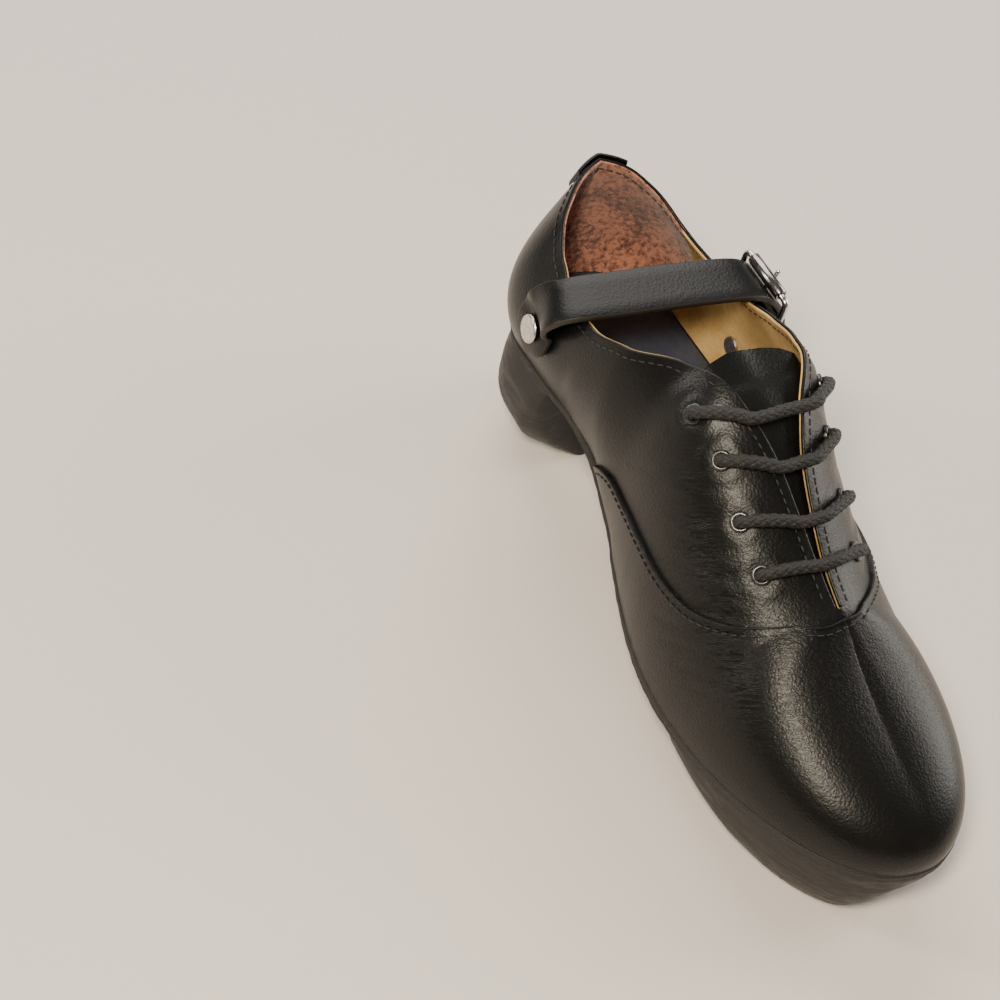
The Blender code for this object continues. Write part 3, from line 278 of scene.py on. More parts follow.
# Meshes
# A mesh given in metres from the back of the upper, as one piece that rides on the shoe.
def meshPiece(name, points, faces, material, uv=None, attributes=None):
    mesh = bpy.data.meshes.new(name)
    placed = np.asarray(points, float) - (originX, 0, 0)
    mesh.from_pydata([tuple(p) for p in placed], [], [tuple(int(i) for i in f) for f in faces])
    for key, values in (attributes or {}).items():
        mesh.attributes.new(key, "FLOAT", "POINT").data.foreach_set("value", np.asarray(values, np.float32))
    if uv is not None:
        layer = mesh.uv_layers.new(name="UVMap")
        index = np.zeros(len(mesh.loops), np.int32)
        mesh.loops.foreach_get("vertex_index", index)
        layer.data.foreach_set("uv", np.asarray(uv, np.float32)[index].ravel())
    mesh.shade_smooth()
    mesh.materials.append(material)
    made = bpy.data.objects.new(name, mesh)
    bpy.context.scene.collection.objects.link(made)
    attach(made, "root")
    return made


# Faces of a closed piece look outwards, after doubled points are merged.
def turnOutwards(piece):
    body = bmesh.new()
    body.from_mesh(piece.data)
    bmesh.ops.remove_doubles(body, verts=body.verts, dist=doubledPoints)
    bmesh.ops.recalc_face_normals(body, faces=body.faces)
    if body.calc_volume(signed=True) < 0:
        bmesh.ops.reverse_faces(body, faces=body.faces)
    body.to_mesh(piece.data)
    body.free()


# Quads of a grid of points stored row by row; wrap joins the last column to the first,
# and closed the last row to the first.
def gridFaces(rows, columns, first=0, wrap=False, flip=False, closed=False):
    r, c = np.meshgrid(np.arange(rows if closed else rows - 1), np.arange(columns if wrap else columns - 1),
                       indexing="ij")
    d, s = (c + 1) % columns, (r + 1) % rows
    quads = first + np.stack([r * columns + c, r * columns + d, s * columns + d, s * columns + c], -1)
    quads = quads.reshape(-1, 4)
    return (quads[:, ::-1] if flip else quads).tolist()


# Shader helpers
# A material, its node tree and its shader.
def newMaterial(name):
    made = bpy.data.materials.new(name)
    made.use_nodes = True
    return made, made.node_tree, made.node_tree.nodes["Principled BSDF"]


# A node with settings, and inputs that are a socket to link or a value to set.
def addNode(tree, kind, settings=None, values=None):
    made = tree.nodes.new(kind)
    for key, value in (settings or {}).items():
        setattr(made, key, value)
    for key, value in (values or {}).items():
        if isinstance(value, bpy.types.NodeSocket):
            tree.links.new(value, made.inputs[key])
        else:
            made.inputs[key].default_value = value
    return made


# One Math node; each input is a socket or a number.
def calc(tree, operation, first, second=None, third=None):
    values = {k: value for k, value in enumerate((first, second, third)) if value is not None}
    return addNode(tree, "ShaderNodeMath", {"operation": operation}, values).outputs[0]


# Map Range with clamping, smooth at both ends.
def ramp(tree, value, low, high, outLow=0.0, outHigh=1.0):
    made = addNode(tree, "ShaderNodeMapRange", {"interpolation_type": "SMOOTHSTEP"},
                   {"Value": value, "From Min": low, "From Max": high, "To Min": outLow, "To Max": outHigh})
    return made.outputs["Result"]


# The first colour where share is 0 and the second where it is 1; a colour is a socket or three numbers.
def mixColour(tree, share, first, second):
    first, second = ((*tone, 1) if isinstance(tone, tuple) else tone for tone in (first, second))
    return addNode(tree, "ShaderNodeMix", {"data_type": "RGBA"}, {0: share, 6: first, 7: second}).outputs[2]


# A shader node group with named float inputs; build(tree, sockets) returns its outputs by name.
def effectGroup(name, inputs, outputs, build):
    tree = bpy.data.node_groups.new(name, "ShaderNodeTree")
    for label, value in inputs.items():
        socket = tree.interface.new_socket(label, in_out="INPUT", socket_type="NodeSocketFloat")
        socket.default_value = value
    for label, kind in outputs.items():
        tree.interface.new_socket(label, in_out="OUTPUT", socket_type=kind)
    source = tree.nodes.new("NodeGroupInput")
    target = tree.nodes.new("NodeGroupOutput")
    made = build(tree, {label: source.outputs[label] for label in inputs})
    for label, socket in made.items():
        tree.links.new(socket, target.inputs[label])
    return tree


def useGroup(tree, group):
    return addNode(tree, "ShaderNodeGroup", {"node_tree": group})


# Noise in metres of the object, squeezed along each axis by stretch.
def objectNoise(tree, scale, detail=2.0, roughness=0.5, stretch=None, distortion=0.0):
    place = addNode(tree, "ShaderNodeTexCoord").outputs["Object"]
    if stretch:
        place = addNode(tree, "ShaderNodeMapping", None, {"Vector": place, "Scale": stretch}).outputs[0]
    return addNode(tree, "ShaderNodeTexNoise", None, {
        "Vector": place, "Scale": scale, "Detail": detail, "Roughness": roughness, "Distortion": distortion,
    }).outputs["Fac"]


# Leather grain: soft pebbles with fine wrinkles between. Height 0 to 1.
def buildGrain(tree, sockets):
    place = addNode(tree, "ShaderNodeTexCoord").outputs["Object"]
    cells = addNode(tree, "ShaderNodeTexVoronoi", {"feature": "SMOOTH_F1"}, {
        "Vector": place, "Scale": sockets["Cells per metre"], "Smoothness": 0.6,
    })
    fine = addNode(tree, "ShaderNodeTexNoise", None, {"Vector": place, "Scale": 1500.0, "Detail": 2.0})
    return {"Height": calc(tree, "MULTIPLY_ADD", fine.outputs["Fac"], 0.9, cells.outputs["Distance"])}


grainGroup = effectGroup("leatherGrain", {"Cells per metre": 1100.0}, {"Height": "NodeSocketFloat"},
                         buildGrain)


# Soft blotches and thin scratches, 0 where clean and up to 1 where worn.
def buildWear(tree, sockets):
    blotch = ramp(tree, objectNoise(tree, 38.0, 4.0, 0.6), 0.50, 0.78)
    scratch = objectNoise(tree, 150.0, 3.0, 0.7, stretch=(1.0, 6.0, 5.0), distortion=1.2)
    thin = ramp(tree, scratch, 0.64, 0.74)
    return {"Blotch": blotch, "Scratch": thin}


wearGroup = effectGroup("surfaceWear", {}, {"Blotch": "NodeSocketFloat", "Scratch": "NodeSocketFloat"},
                        buildWear)


# Flex creases across the foot: thin wavy valleys over the surface's own length and height. 0 to 1.
def buildCreases(tree, sockets):
    place = addNode(tree, "ShaderNodeTexCoord").outputs["Object"]
    turned = addNode(tree, "ShaderNodeMapping", {"vector_type": "TEXTURE"}, {
        "Vector": place, "Rotation": (0.0, -0.60, 0.72), "Scale": (0.0100, 0.0013, 0.0013),
    }).outputs[0]
    noise = addNode(tree, "ShaderNodeTexNoise", None, {
        "Vector": turned, "Scale": 1.0, "Detail": 3.0, "Roughness": 0.6, "Distortion": 0.5,
    }).outputs["Fac"]
    thin = calc(tree, "ABSOLUTE", calc(tree, "SUBTRACT", noise, 0.5))
    return {"Depth": ramp(tree, thin, 0.0, 0.09, 1.0, 0.0)}


creaseGroup = effectGroup("flexCreases", {}, {"Depth": "NodeSocketFloat"}, buildCreases)


# A number that the mesh carries at its points.
def attribute(tree, name):
    return addNode(tree, "ShaderNodeAttribute", {"attribute_name": name}).outputs["Fac"]


# A normal tilted by the slope of height, over another bump's normal where one is given.
def bump(tree, height, strength, distance, normal=None):
    values = {"Height": height, "Strength": strength, "Distance": distance}
    if normal is not None:
        values["Normal"] = normal
    return addNode(tree, "ShaderNodeBump", None, values).outputs["Normal"]


# Materials
leather = dict(colour=(0.0035, 0.0034, 0.0032), worn=(0.014, 0.012, 0.010), edge=(0.030, 0.026, 0.022),
               roughness=0.36, wornRoughness=0.48, specular=0.27, grain=0.17, creaseDepth=0.00020)
suede = dict(dark=(0.085, 0.022, 0.012), light=(0.46, 0.185, 0.115))
buff = dict(dark=(0.46, 0.29, 0.10), light=(0.86, 0.63, 0.30))
sock = dict(dark=(0.030, 0.038, 0.060), light=(0.085, 0.095, 0.125))
fibreglass = dict(dark=(0.0085, 0.0082, 0.0078), light=(0.042, 0.038, 0.032), roughness=0.50)


# Smooth satin leather with fine grain; creased adds the flex creases where the attributes say so.
def blackLeather(name, creased=False, edged=False):
    made, tree, shader = newMaterial(name)
    wear = useGroup(tree, wearGroup)
    dusty = calc(tree, "MULTIPLY", wear.outputs["Blotch"], 0.30)
    worn = calc(tree, "MAXIMUM", dusty, calc(tree, "MULTIPLY", wear.outputs["Scratch"], 0.35))
    if creased:
        depth = useGroup(tree, creaseGroup).outputs["Depth"]
        depth = calc(tree, "MULTIPLY", depth, attribute(tree, "crease"))
        worn = calc(tree, "MAXIMUM", worn, calc(tree, "MULTIPLY", depth, 0.35))
    tone = mixColour(tree, worn, leather["colour"], leather["worn"])
    if edged:
        cut = attribute(tree, "edge")
        tone = mixColour(tree, cut, tone, leather["edge"])
        worn = calc(tree, "MAXIMUM", worn, cut)
    tree.links.new(tone, shader.inputs["Base Color"])
    tree.links.new(ramp(tree, worn, 0.0, 1.0, leather["roughness"], leather["wornRoughness"]),
                   shader.inputs["Roughness"])
    grain = useGroup(tree, grainGroup).outputs["Height"]
    normal = bump(tree, grain, leather["grain"], 0.0004)
    if creased:
        normal = bump(tree, calc(tree, "SUBTRACT", 1.0, depth), 0.35, leather["creaseDepth"], normal)
    tree.links.new(normal, shader.inputs["Normal"])
    shader.inputs["Specular IOR Level"].default_value = leather["specular"]
    return made


# Inner leather: grained and smooth, or napped suede.
def liningMaterial(name, tones, nap):
    made, tree, shader = newMaterial(name)
    broad = objectNoise(tree, 90.0, 4.0, 0.65)
    fine = objectNoise(tree, 520.0 if nap else 1100.0, 4.0, 0.7)
    mixed = calc(tree, "MULTIPLY_ADD", fine, 0.9 if nap else 0.35, calc(tree, "MULTIPLY", broad, 0.5))
    share = ramp(tree, mixed, 0.55 if nap else 0.30, 0.82)
    tree.links.new(mixColour(tree, share, tones["dark"], tones["light"]), shader.inputs["Base Color"])
    shader.inputs["Roughness"].default_value = 0.95 if nap else 0.62
    if nap:
        shader.inputs["Sheen Weight"].default_value = 0.35
        shader.inputs["Sheen Roughness"].default_value = 0.5
    normal = bump(tree, fine, 0.7 if nap else 0.25, 0.0010 if nap else 0.0005)
    tree.links.new(bump(tree, broad, 0.4, 0.0012, normal), shader.inputs["Normal"])
    return made


# A material with small colour and roughness variation and a fine bump.
def plainMaterial(name, colour, roughness, grainScale=900.0, depth=0.0003, variation=0.35, metallic=0.0):
    made, tree, shader = newMaterial(name)
    noise = objectNoise(tree, grainScale, 3.0, 0.6)
    lighter = tuple(min(1.0, c * (1 + variation * 2) + 0.004) for c in colour)
    tone = mixColour(tree, ramp(tree, noise, 0.35, 0.75), colour, lighter)
    tree.links.new(tone, shader.inputs["Base Color"])
    tree.links.new(ramp(tree, noise, 0.3, 0.8, roughness * 0.85, min(1.0, roughness * 1.2)),
                   shader.inputs["Roughness"])
    shader.inputs["Metallic"].default_value = metallic
    tree.links.new(bump(tree, noise, 0.4, depth), shader.inputs["Normal"])
    return made


# Moulded fibreglass: dark, matt, with pale scuffs, fine scratches and a slightly uneven skin.
def blockMaterial():
    made, tree, shader = newMaterial("fibreglassBlock")
    wear = useGroup(tree, wearGroup)
    streak = objectNoise(tree, 120.0, 5.0, 0.7, stretch=(0.6, 1.0, 4.0))
    tone = calc(tree, "MULTIPLY_ADD", wear.outputs["Scratch"], 0.5,
                calc(tree, "MULTIPLY", ramp(tree, streak, 0.45, 0.75), 0.45))
    tone = mixColour(tree, tone, fibreglass["dark"], fibreglass["light"])
    tree.links.new(tone, shader.inputs["Base Color"])
    tree.links.new(ramp(tree, streak, 0.3, 0.7, fibreglass["roughness"] * 0.8, fibreglass["roughness"] * 1.4),
                   shader.inputs["Roughness"])
    normal = bump(tree, wear.outputs["Scratch"], 0.3, 0.0003)
    tree.links.new(bump(tree, streak, 0.35, 0.0006, normal), shader.inputs["Normal"])
    return made


blackPlain = blackLeather("blackLeather")
blackCreased = blackLeather("blackLeatherCreased", creased=True)
suedeLining = liningMaterial("suedeLining", suede, nap=True)
buffLining = liningMaterial("buffLining", buff, nap=False)
soleEdge = plainMaterial("soleEdge", (0.012, 0.0115, 0.011), 0.72, 700.0, 0.0008)
block = blockMaterial()
stitchThread = plainMaterial("blackThread", (0.010, 0.010, 0.010), 0.55, 3000.0, 0.0002)
brownThread = plainMaterial("brownThread", (0.045, 0.020, 0.010), 0.7, 3000.0, 0.0002)
steel = plainMaterial("nickelSteel", (0.60, 0.59, 0.57), 0.24, 500.0, 0.00005, 0.10, 1.0)
blackSteel = plainMaterial("blackSteel", (0.06, 0.06, 0.06), 0.32, 500.0, 0.00005, 0.20, 0.9)
cordThread = plainMaterial("braidThread", (0.0065, 0.006, 0.0058), 0.62, 5200.0, 0.0004, 0.9)


# Upper: quarters, vamp, linings
upper = dict(
    rowsPerSection=14, rows=84, vampRows=64, liningRows=40, edgeSegments=4,
    vampLift=0.0014, foldLength=0.0017, foldRise=0.00025, foldSteps=(0.55, 0.25, 0.06, 0.0),
    lipShares=(1.02, 0.72), lipSink=0.0002, wingRound=0.55, underVamp=0.10, underStart=0.3,
    rollFade=0.3, heelLining=3.9, foldShare=0.62, cutShare=0.55, liningShare=0.98,
)  # the last three are shares of the wall: where the leather's edge, the cut edge and the lining end


# How far up each section the vamp's edge crosses it; the wing's rear corner is rounded.
def seamAt(stations, side):
    shares = []
    for station in stations:
        s = section(station, side)
        height = float(s["topZ"] - s["bottom"])
        share = shareAtHeight(station, float(s["bottom"]) + float(s["seam"]) * height, side)
        behind = np.clip((last["wing"] + upper["wingRound"] - station) / upper["wingRound"], 0, 1)
        shares.append(share * math.sqrt(max(0.0, 1 - behind**2)))
    return np.array(shares)


# One row is one creased place of a side: x and z in metres on the shoe, its two half sizes and its strength.
creasedPlaces = (
    (0.150, 0.060, 0.022, 0.020, 0.9), (0.168, 0.050, 0.024, 0.016, 1.0), (0.120, 0.075, 0.030, 0.022, 0.5),
    (0.200, 0.060, 0.030, 0.015, 0.35), (0.060, 0.060, 0.020, 0.015, 0.3),
)


# How creased the leather is: in the vamp's flex line and under the eyelets, 0 to 1.
# Each place adds exp(-(distance over its size) squared).
def creaseShare(x, z):
    total = np.zeros_like(x)
    for px, pz, wide, high, amount in creasedPlaces:
        total = total + amount * np.exp(-(((x - px) / wide) ** 2) - ((z - pz) / high) ** 2)
    return np.clip(total, 0, 1)


# One row is one crease of a side: both ends as x and z in metres on the shoe, its half width and its depth.
# A negative depth is a ridge.
creaseRows = (
    (0.118, 0.084, 0.133, 0.097, 0.0016, 0.00035), (0.122, 0.080, 0.139, 0.091, 0.0013, -0.00025),
    (0.128, 0.075, 0.146, 0.088, 0.0015, 0.00030), (0.134, 0.071, 0.152, 0.081, 0.0013, 0.00025),
    (0.141, 0.066, 0.160, 0.078, 0.0015, 0.00030), (0.148, 0.070, 0.163, 0.074, 0.0012, -0.00022),
    (0.150, 0.060, 0.170, 0.070, 0.0014, 0.00028), (0.158, 0.058, 0.176, 0.068, 0.0012, 0.00025),
    (0.146, 0.046, 0.160, 0.058, 0.0015, 0.00030), (0.154, 0.044, 0.168, 0.056, 0.0013, 0.00028),
    (0.162, 0.042, 0.177, 0.054, 0.0014, 0.00026), (0.171, 0.042, 0.184, 0.052, 0.0013, 0.00022),
    (0.104, 0.070, 0.116, 0.082, 0.0016, 0.00022), (0.060, 0.056, 0.066, 0.078, 0.0030, 0.00035),
)


# Depth of the listed creases at points of a side: the sum of depth * exp(-(distance / half width)^2),
# where distance is to the straight run between a crease's ends, and the depth fades towards both ends as a
# sine.
def creaseDepth(points):
    x, z = points[..., 0], points[..., 2]
    total = np.zeros_like(x)
    for x0, z0, x1, z1, width, depth in creaseRows:
        dx, dz = x1 - x0, z1 - z0
        t = np.clip(((x - x0) * dx + (z - z0) * dz) / (dx**2 + dz**2), 0, 1)
        away = np.hypot(x - x0 - t * dx, z - z0 - t * dz)
        fade = np.sin(np.clip(t * 0.8 + 0.1, 0, 1) * math.pi)
        total += depth * fade * np.exp(-((away / width) ** 2))
    return total


# Points at an offset from the last, their UV in metres along and up the leather, and their creasing.
def skinGrid(stations, ups, side, offset, worn=True):
    grid = lastPoint(stations[:, None], ups, side)
    outwards = np.asarray(offset) - (creaseDepth(grid) if worn else 0)
    points = grid + lastNormal(stations[:, None], ups, side) * outwards[..., None]
    if stations[0] == 0:
        points[0, :, 1] = 0
    if stations[-1] == lastStation:
        both = [lastPoint(float(lastStation), ups[-1], s) for s in sides]
        facing = unit(sum(lastNormal(float(lastStation), ups[-1], s) for s in sides))
        points[-1] = sum(both) / 2 + facing * outwards[-1][:, None]
    along = runAlong(grid[:, 0])
    high = np.concatenate([np.zeros((len(stations), 1)),
                           np.cumsum(np.linalg.norm(np.diff(grid, axis=1), axis=2), axis=1)], 1)
    uv = np.stack([np.broadcast_to(along[:, None], high.shape), high], -1)
    return points, uv, creaseShare(grid[..., 0], grid[..., 2])


# One mesh of several grids; each is (points, uv, crease) and may look the other way.
def sheetPiece(name, grids, material, flips):
    points, uv, crease, faces = [], [], [], []
    first = 0
    for (p, t, c), flip in zip(grids, flips):
        points.append(p.reshape(-1, 3))
        uv.append(t.reshape(-1, 2))
        crease.append(c.ravel())
        faces += gridFaces(p.shape[0], p.shape[1], first, flip=flip)
        first += p.shape[0] * p.shape[1]
    made = meshPiece(name, np.concatenate(points), faces, material, np.concatenate(uv),
                     {"crease": np.concatenate(crease)})
    weldSides(made)
    return made


# The medial and the lateral grid become one skin along the centre line.
def weldSides(piece):
    body = bmesh.new()
    body.from_mesh(piece.data)
    bmesh.ops.remove_doubles(body, verts=body.verts, dist=sideSeam)
    body.to_mesh(piece.data)
    body.free()


# Stations at even steps, the same number between any two sections.
def stationSteps(first, final):
    return np.linspace(first, final, int(round((final - first) * upper["rowsPerSection"])) + 1)


# One row is one pair of eyelets: x of the length, distance below the facing's edge as a share of the ball's
# width, and how many stations its lace runs forward before it crosses.
eyeletPairs = ((0.448, 0.167, 0.95), (0.512, 0.185, 0.60), (0.580, 0.220, 0.50), (0.641, 0.214, 0.35))
pucker = dict(ring=0.0056, width=0.0024, rise=0.00026)  # leather pulled up round each eyelet


# Station, centre on the leather and outward normal of an eyelet.
def eyeletPlace(pair, side):
    station = stationOfX(pair[0] * last["length"])
    up = shareBelowEdge(station, pair[1] * last["ball"], side)
    return station, lastPoint(station, up, side), lastNormal(station, up, side)


# Outer skin of heel and quarters, with its rounded top edge; it runs a little way under the vamp. Round each
# eyelet it rises by rise * exp(-((distance - ring) / width)^2).
def buildQuarters():
    grids, flips = [], []
    for side in sides:
        stations = stationSteps(0, lastStation)
        start = np.zeros(len(stations))
        covered = stations >= last["wing"] + upper["underStart"]
        start[covered] = np.maximum(seamAt(stations[covered], side) - upper["underVamp"], 0)
        spread = np.linspace(0, 1, upper["rows"])
        spread = 1 - (1 - spread) ** 1.25
        ups = start[:, None] + (1 - start[:, None]) * spread[None]
        places = lastPoint(stations[:, None], ups, side)
        offset = np.zeros_like(ups)
        for pair in eyeletPairs:
            away = np.linalg.norm(places - eyeletPlace(pair, side)[1], axis=-1)
            offset += pucker["rise"] * np.exp(-(((away - pucker["ring"]) / pucker["width"]) ** 2))
        points, uv, crease = skinGrid(stations, ups, side, offset)
        roll = edgeRoll(stations, side, 0.0, -wall * upper["foldShare"], uv)
        points = np.concatenate([points, roll[0]], 1)
        uv = np.concatenate([uv, roll[1]], 1)
        crease = np.concatenate([crease, np.zeros(roll[0].shape[:2])], 1)
        grids.append((points, uv, crease))
        flips.append(side == "medial")
    return sheetPiece("quarters", grids, blackCreased, flips)


# Rows over the top edge from the outer to the inner offset, along a half circle standing above it.
def edgeRoll(stations, side, outer, inner, uv):
    top = lastPoint(stations, 1.0, side)
    normal = lastNormal(stations, 1.0, side)
    below = lastPoint(stations, 0.985, side)
    rise = unit(top - below)
    length = upper["rollFade"]
    fade = np.clip(backSections + length - stations, 0, length)[:, None] / length
    middle, radius = (outer + inner) / 2, (outer - inner) / 2 * fade
    rows, marks = [], []
    for k in range(1, upper["edgeSegments"] + 1):
        angle = math.pi * k / upper["edgeSegments"]
        point = top + normal * (middle + radius * math.cos(angle)) + rise * (radius * 0.8 * math.sin(angle))
        if stations[0] == 0:
            point[0, 1] = 0
        rows.append(point)
        marks.append(uv[:, -1] + radius * (0, k * 0.5))
    return np.stack(rows, 1), np.stack(marks, 1)


# The vamp over the quarters: a lifted skin whose edge is folded, with a rounded lip down to the quarter.
def buildVamp():
    grids, flips = [], []
    for side in sides:
        wingEnd = last["wing"] + upper["wingRound"]
        stations = np.concatenate([last["wing"] + upper["wingRound"] * np.linspace(0, 1, 9)[:-1] ** 2,
                                   stationSteps(wingEnd, lastStation)])
        seam = seamAt(stations, side)
        spread = np.linspace(0, 1, upper["vampRows"])
        spread = 1 - (1 - spread) ** 1.3
        lip = []
        for station, share in zip(stations, seam):
            ups, _, run = sectionLine(station, side)
            here = float(np.interp(share, ups, run))
            fold = upper["foldLength"]
            lip.append([float(np.interp(here - fold * k, run, ups)) for k in upper["foldSteps"]])
        lip = np.minimum(np.array(lip), seam[:, None])
        body = lip[:, :1] * spread[None]
        ups = np.concatenate([body, lip[:, 1:], lip[:, 3:]], 1)
        lift = upper["vampLift"]
        inFold = ups >= lip[:, :1] - 1e-9
        offset = np.full(ups.shape, lift) + upper["foldRise"] * inFold
        offset[:, -3:-1] = lift * np.array(upper["lipShares"])
        offset[:, -1] = -upper["lipSink"]
        grids.append(skinGrid(stations, ups, side, offset))
        flips.append(side == "medial")
    return sheetPiece("vamp", grids, blackCreased, flips)


# Inner skins: napped suede round the heel, smooth buff leather ahead of it, and the pale cut edge.
def buildLinings():
    split, inner = upper["heelLining"], -wall * upper["liningShare"]
    for name, first, final, material in (("liningHeel", 0, split, suedeLining),
                                         ("liningQuarters", split, lastStation, buffLining)):
        grids, flips = [], []
        for side in sides:
            stations = stationSteps(first, final)
            ups = np.tile(np.linspace(0, 1, upper["liningRows"]), (len(stations), 1))
            points, uv, _ = skinGrid(stations, ups, side, np.full(ups.shape, inner), worn=False)
            roll, _ = edgeRoll(stations, side, -wall * upper["cutShare"], inner, uv)
            points = np.concatenate([points, roll[:, ::-1]], 1)
            extra = np.repeat(uv[:, -1:], upper["edgeSegments"], 1)
            grids.append((points, np.concatenate([uv, extra], 1), np.zeros(points.shape[:2])))
            flips.append(side == "lateral")
        sheetPiece(name, grids, material, flips)


quarters = buildQuarters()
buildVamp()
buildLinings()
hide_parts("upper")
print("upper made", flush=True)


# Blocks, sole, insole
# The bottom edge of the upper in plan, medial side forward and lateral side back, moved inwards.
def outline(stations, inset):
    medial = lastPoint(stations, 0.0, "medial")[:, :2]
    lateral = lastPoint(stations, 0.0, "lateral")[:, :2][::-1]
    loop = np.concatenate([medial, lateral])
    ahead = np.roll(loop, -1, axis=0)
    behind = np.roll(loop, 1, axis=0)
    count = len(stations)
    if stations[0] > 0:
        behind[0] = loop[0]
        ahead[-1] = loop[-1]
    else:
        ahead[-1] = loop[1]
        behind[0] = loop[-2]
    ahead[count - 1] = loop[count + 1]
    behind[count] = loop[count - 2]
    along = unit(ahead - behind)
    inwards = np.stack([-along[:, 1], along[:, 0]], 1)
    return loop + np.reshape(inset, (-1, 1)) * inwards


# The outsole grows from the shank's thickness to the forefoot's.
def soleThickness(x):
    return sole["shank"] + (sole["thickness"] - sole["shank"]) * eased(x, last["shankEnd"], last["spring"])


# Faces across an outline that runs up the medial side and back down the lateral side.
def capFaces(first, count, flip=False):
    faces = []
    for i in range(count // 2 - 1):
        quad = (first + i, first + i + 1, first + count - 2 - i, first + count - 1 - i)
        faces.append(quad[::-1] if flip else quad)
    return faces


# A closed body through rings of one count; its two end rings are outlines capped across.
def loftPiece(name, rings, material):
    count = len(rings[0])
    points = np.concatenate(rings)
    faces = gridFaces(len(rings), count, wrap=True)
    faces += capFaces(0, count) + capFaces((len(rings) - 1) * count, count, flip=True)
    made = meshPiece(name, points, faces, material)
    weldSides(made)
    turnOutwards(made)
    return made


sole = dict(thickness=0.0040, shank=0.0026, margin=0.0006, steps=9, ripple=0.00012, insoleInset=0.0030,
            insole=0.0015, insoleSteps=5)
# One row is one ring: height as a share of the thickness, and how far inwards it lies.
soleRings = ((0.0, 0.0030), (0.0, 0.0006), (0.12, 0.0001), (0.35, 0.00025), (0.65, 0.00025), (0.88, 0.0),
             (1.0, 0.0005), (1.0, 0.0030))
insoleRings = ((0.0, 0.0), (0.7, 0.0), (1.0, 0.0006), (1.0, 0.004))


# The outsole: its edge is slightly rounded, waisted and rough, like a trimmed and inked leather edge.
def buildSole():
    stations = np.linspace(0, lastStation, lastStation * sole["steps"] + 1)
    overVamp = np.clip(stations - last["wing"] + 1, 0, 1)
    proud = sole["margin"] + vampStep * overVamp
    proud = np.concatenate([proud, proud[::-1]])
    base = outline(stations, 0.0)
    rings = []
    ripple = sole["ripple"] * np.sin(base[:, 0] * 900) * np.sin(base[:, 1] * 700 + base[:, 0] * 300)
    for share, inwards in soleRings:
        loop = outline(stations, -proud + inwards) + outline(stations, ripple) - base
        high = bottomHeight(loop[:, 0]) - pieceGap
        rings.append(np.column_stack([loop, high - soleThickness(loop[:, 0]) * (1 - share)]))
    made = loftPiece("outsole", rings, soleEdge)
    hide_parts("sole")
    return made


# The insole, with a soft edge.
def buildInsole():
    stations = np.linspace(0, lastStation, lastStation * sole["insoleSteps"] + 1)
    rings = []
    for share, inwards in insoleRings:
        loop = outline(stations, sole["insoleInset"] + inwards)
        rings.append(np.column_stack([loop, bottomHeight(loop[:, 0]) + pieceGap + sole["insole"] * share]))
    made = loftPiece("insoleSock", rings, sockMaterial)
    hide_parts("insole")
    return made


tip = dict(rear=0.171, undercut=0.027, narrowing=0.22, bottomFront=0.2405, bottomInset=0.0075,
           topInset=0.0008, levels=26, steps=70, soft=0.0008)
# One row is one level of the tip, each value a share: of the block's height, of the bevel, of the undercut
# and of the straight front cut.
TipLevel = namedtuple("TipLevel", "height bevel undercut cut")
tipRows = (
    TipLevel(0.00, 1.00, 1.00, 1.00),
    TipLevel(0.12, 0.72, 0.72, 0.86),
    TipLevel(0.32, 0.30, 0.44, 0.60),
    TipLevel(0.55, 0.06, 0.22, 0.30),
    TipLevel(0.80, 0.00, 0.07, 0.05),
    TipLevel(1.00, 0.00, 0.00, 0.00),
)


# A column of a table of levels at any height, on the smooth curve through its rows.
def levelValue(rows, name, height):
    return float(fair([row.height for row in rows], [getattr(row, name) for row in rows], height))


# The hard block under the forefoot: level bottom, straight cut across the front, bevelled sides. The cut
# keeps x below the front by soft * log(1 + exp((front - x) / soft)).
def buildTip():
    rings = []
    heights = np.linspace(0, 1, tip["levels"])
    rounding = [(0.0, 0.0022), (0.0, 0.0007)] + [(h, 0.0) for h in heights[1:-1]]
    rounding += [(1.0, 0.0002), (1.0, 0.0020)]
    for height, inwards in rounding:
        bevel = levelValue(tipRows, "bevel", height)
        under = levelValue(tipRows, "undercut", height)
        cut = levelValue(tipRows, "cut", height)
        rear = tip["rear"] + tip["undercut"] * under
        share = np.linspace(0, 1, tip["steps"])
        stations = stationOfX(rear) + (lastStation - stationOfX(rear)) * share
        inset = tip["topInset"] + (tip["bottomInset"] - tip["topInset"]) * bevel
        loop = outline(stations, inset - vampStep + inwards)
        front = last["length"] - tip["topInset"]
        front += (tip["bottomFront"] - front) * cut - inwards
        behind = np.clip((loop[:, 0] - rear) / tip["undercut"], 0, 1)
        loop[:, 1] *= 1 - tip["narrowing"] * under * (1 - behind) ** 2
        over = loop[:, 0] - front
        loop[:, 0] = front - np.logaddexp(0, -over / tip["soft"]) * tip["soft"]
        top = bottomHeight(loop[:, 0]) - pieceGap - soleThickness(loop[:, 0]) - pieceGap
        rings.append(np.column_stack([loop, top * height]))
    made = loftPiece("tipBlock", rings, block)
    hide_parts("tip")
    return made


heel = dict(breast=0.050, topWidth=0.060, topBack=0.0035, bottomBack=0.0085, corner=0.0095, hollow=0.0035,
            roundShare=0.62, levels=24, edge=0.0007)
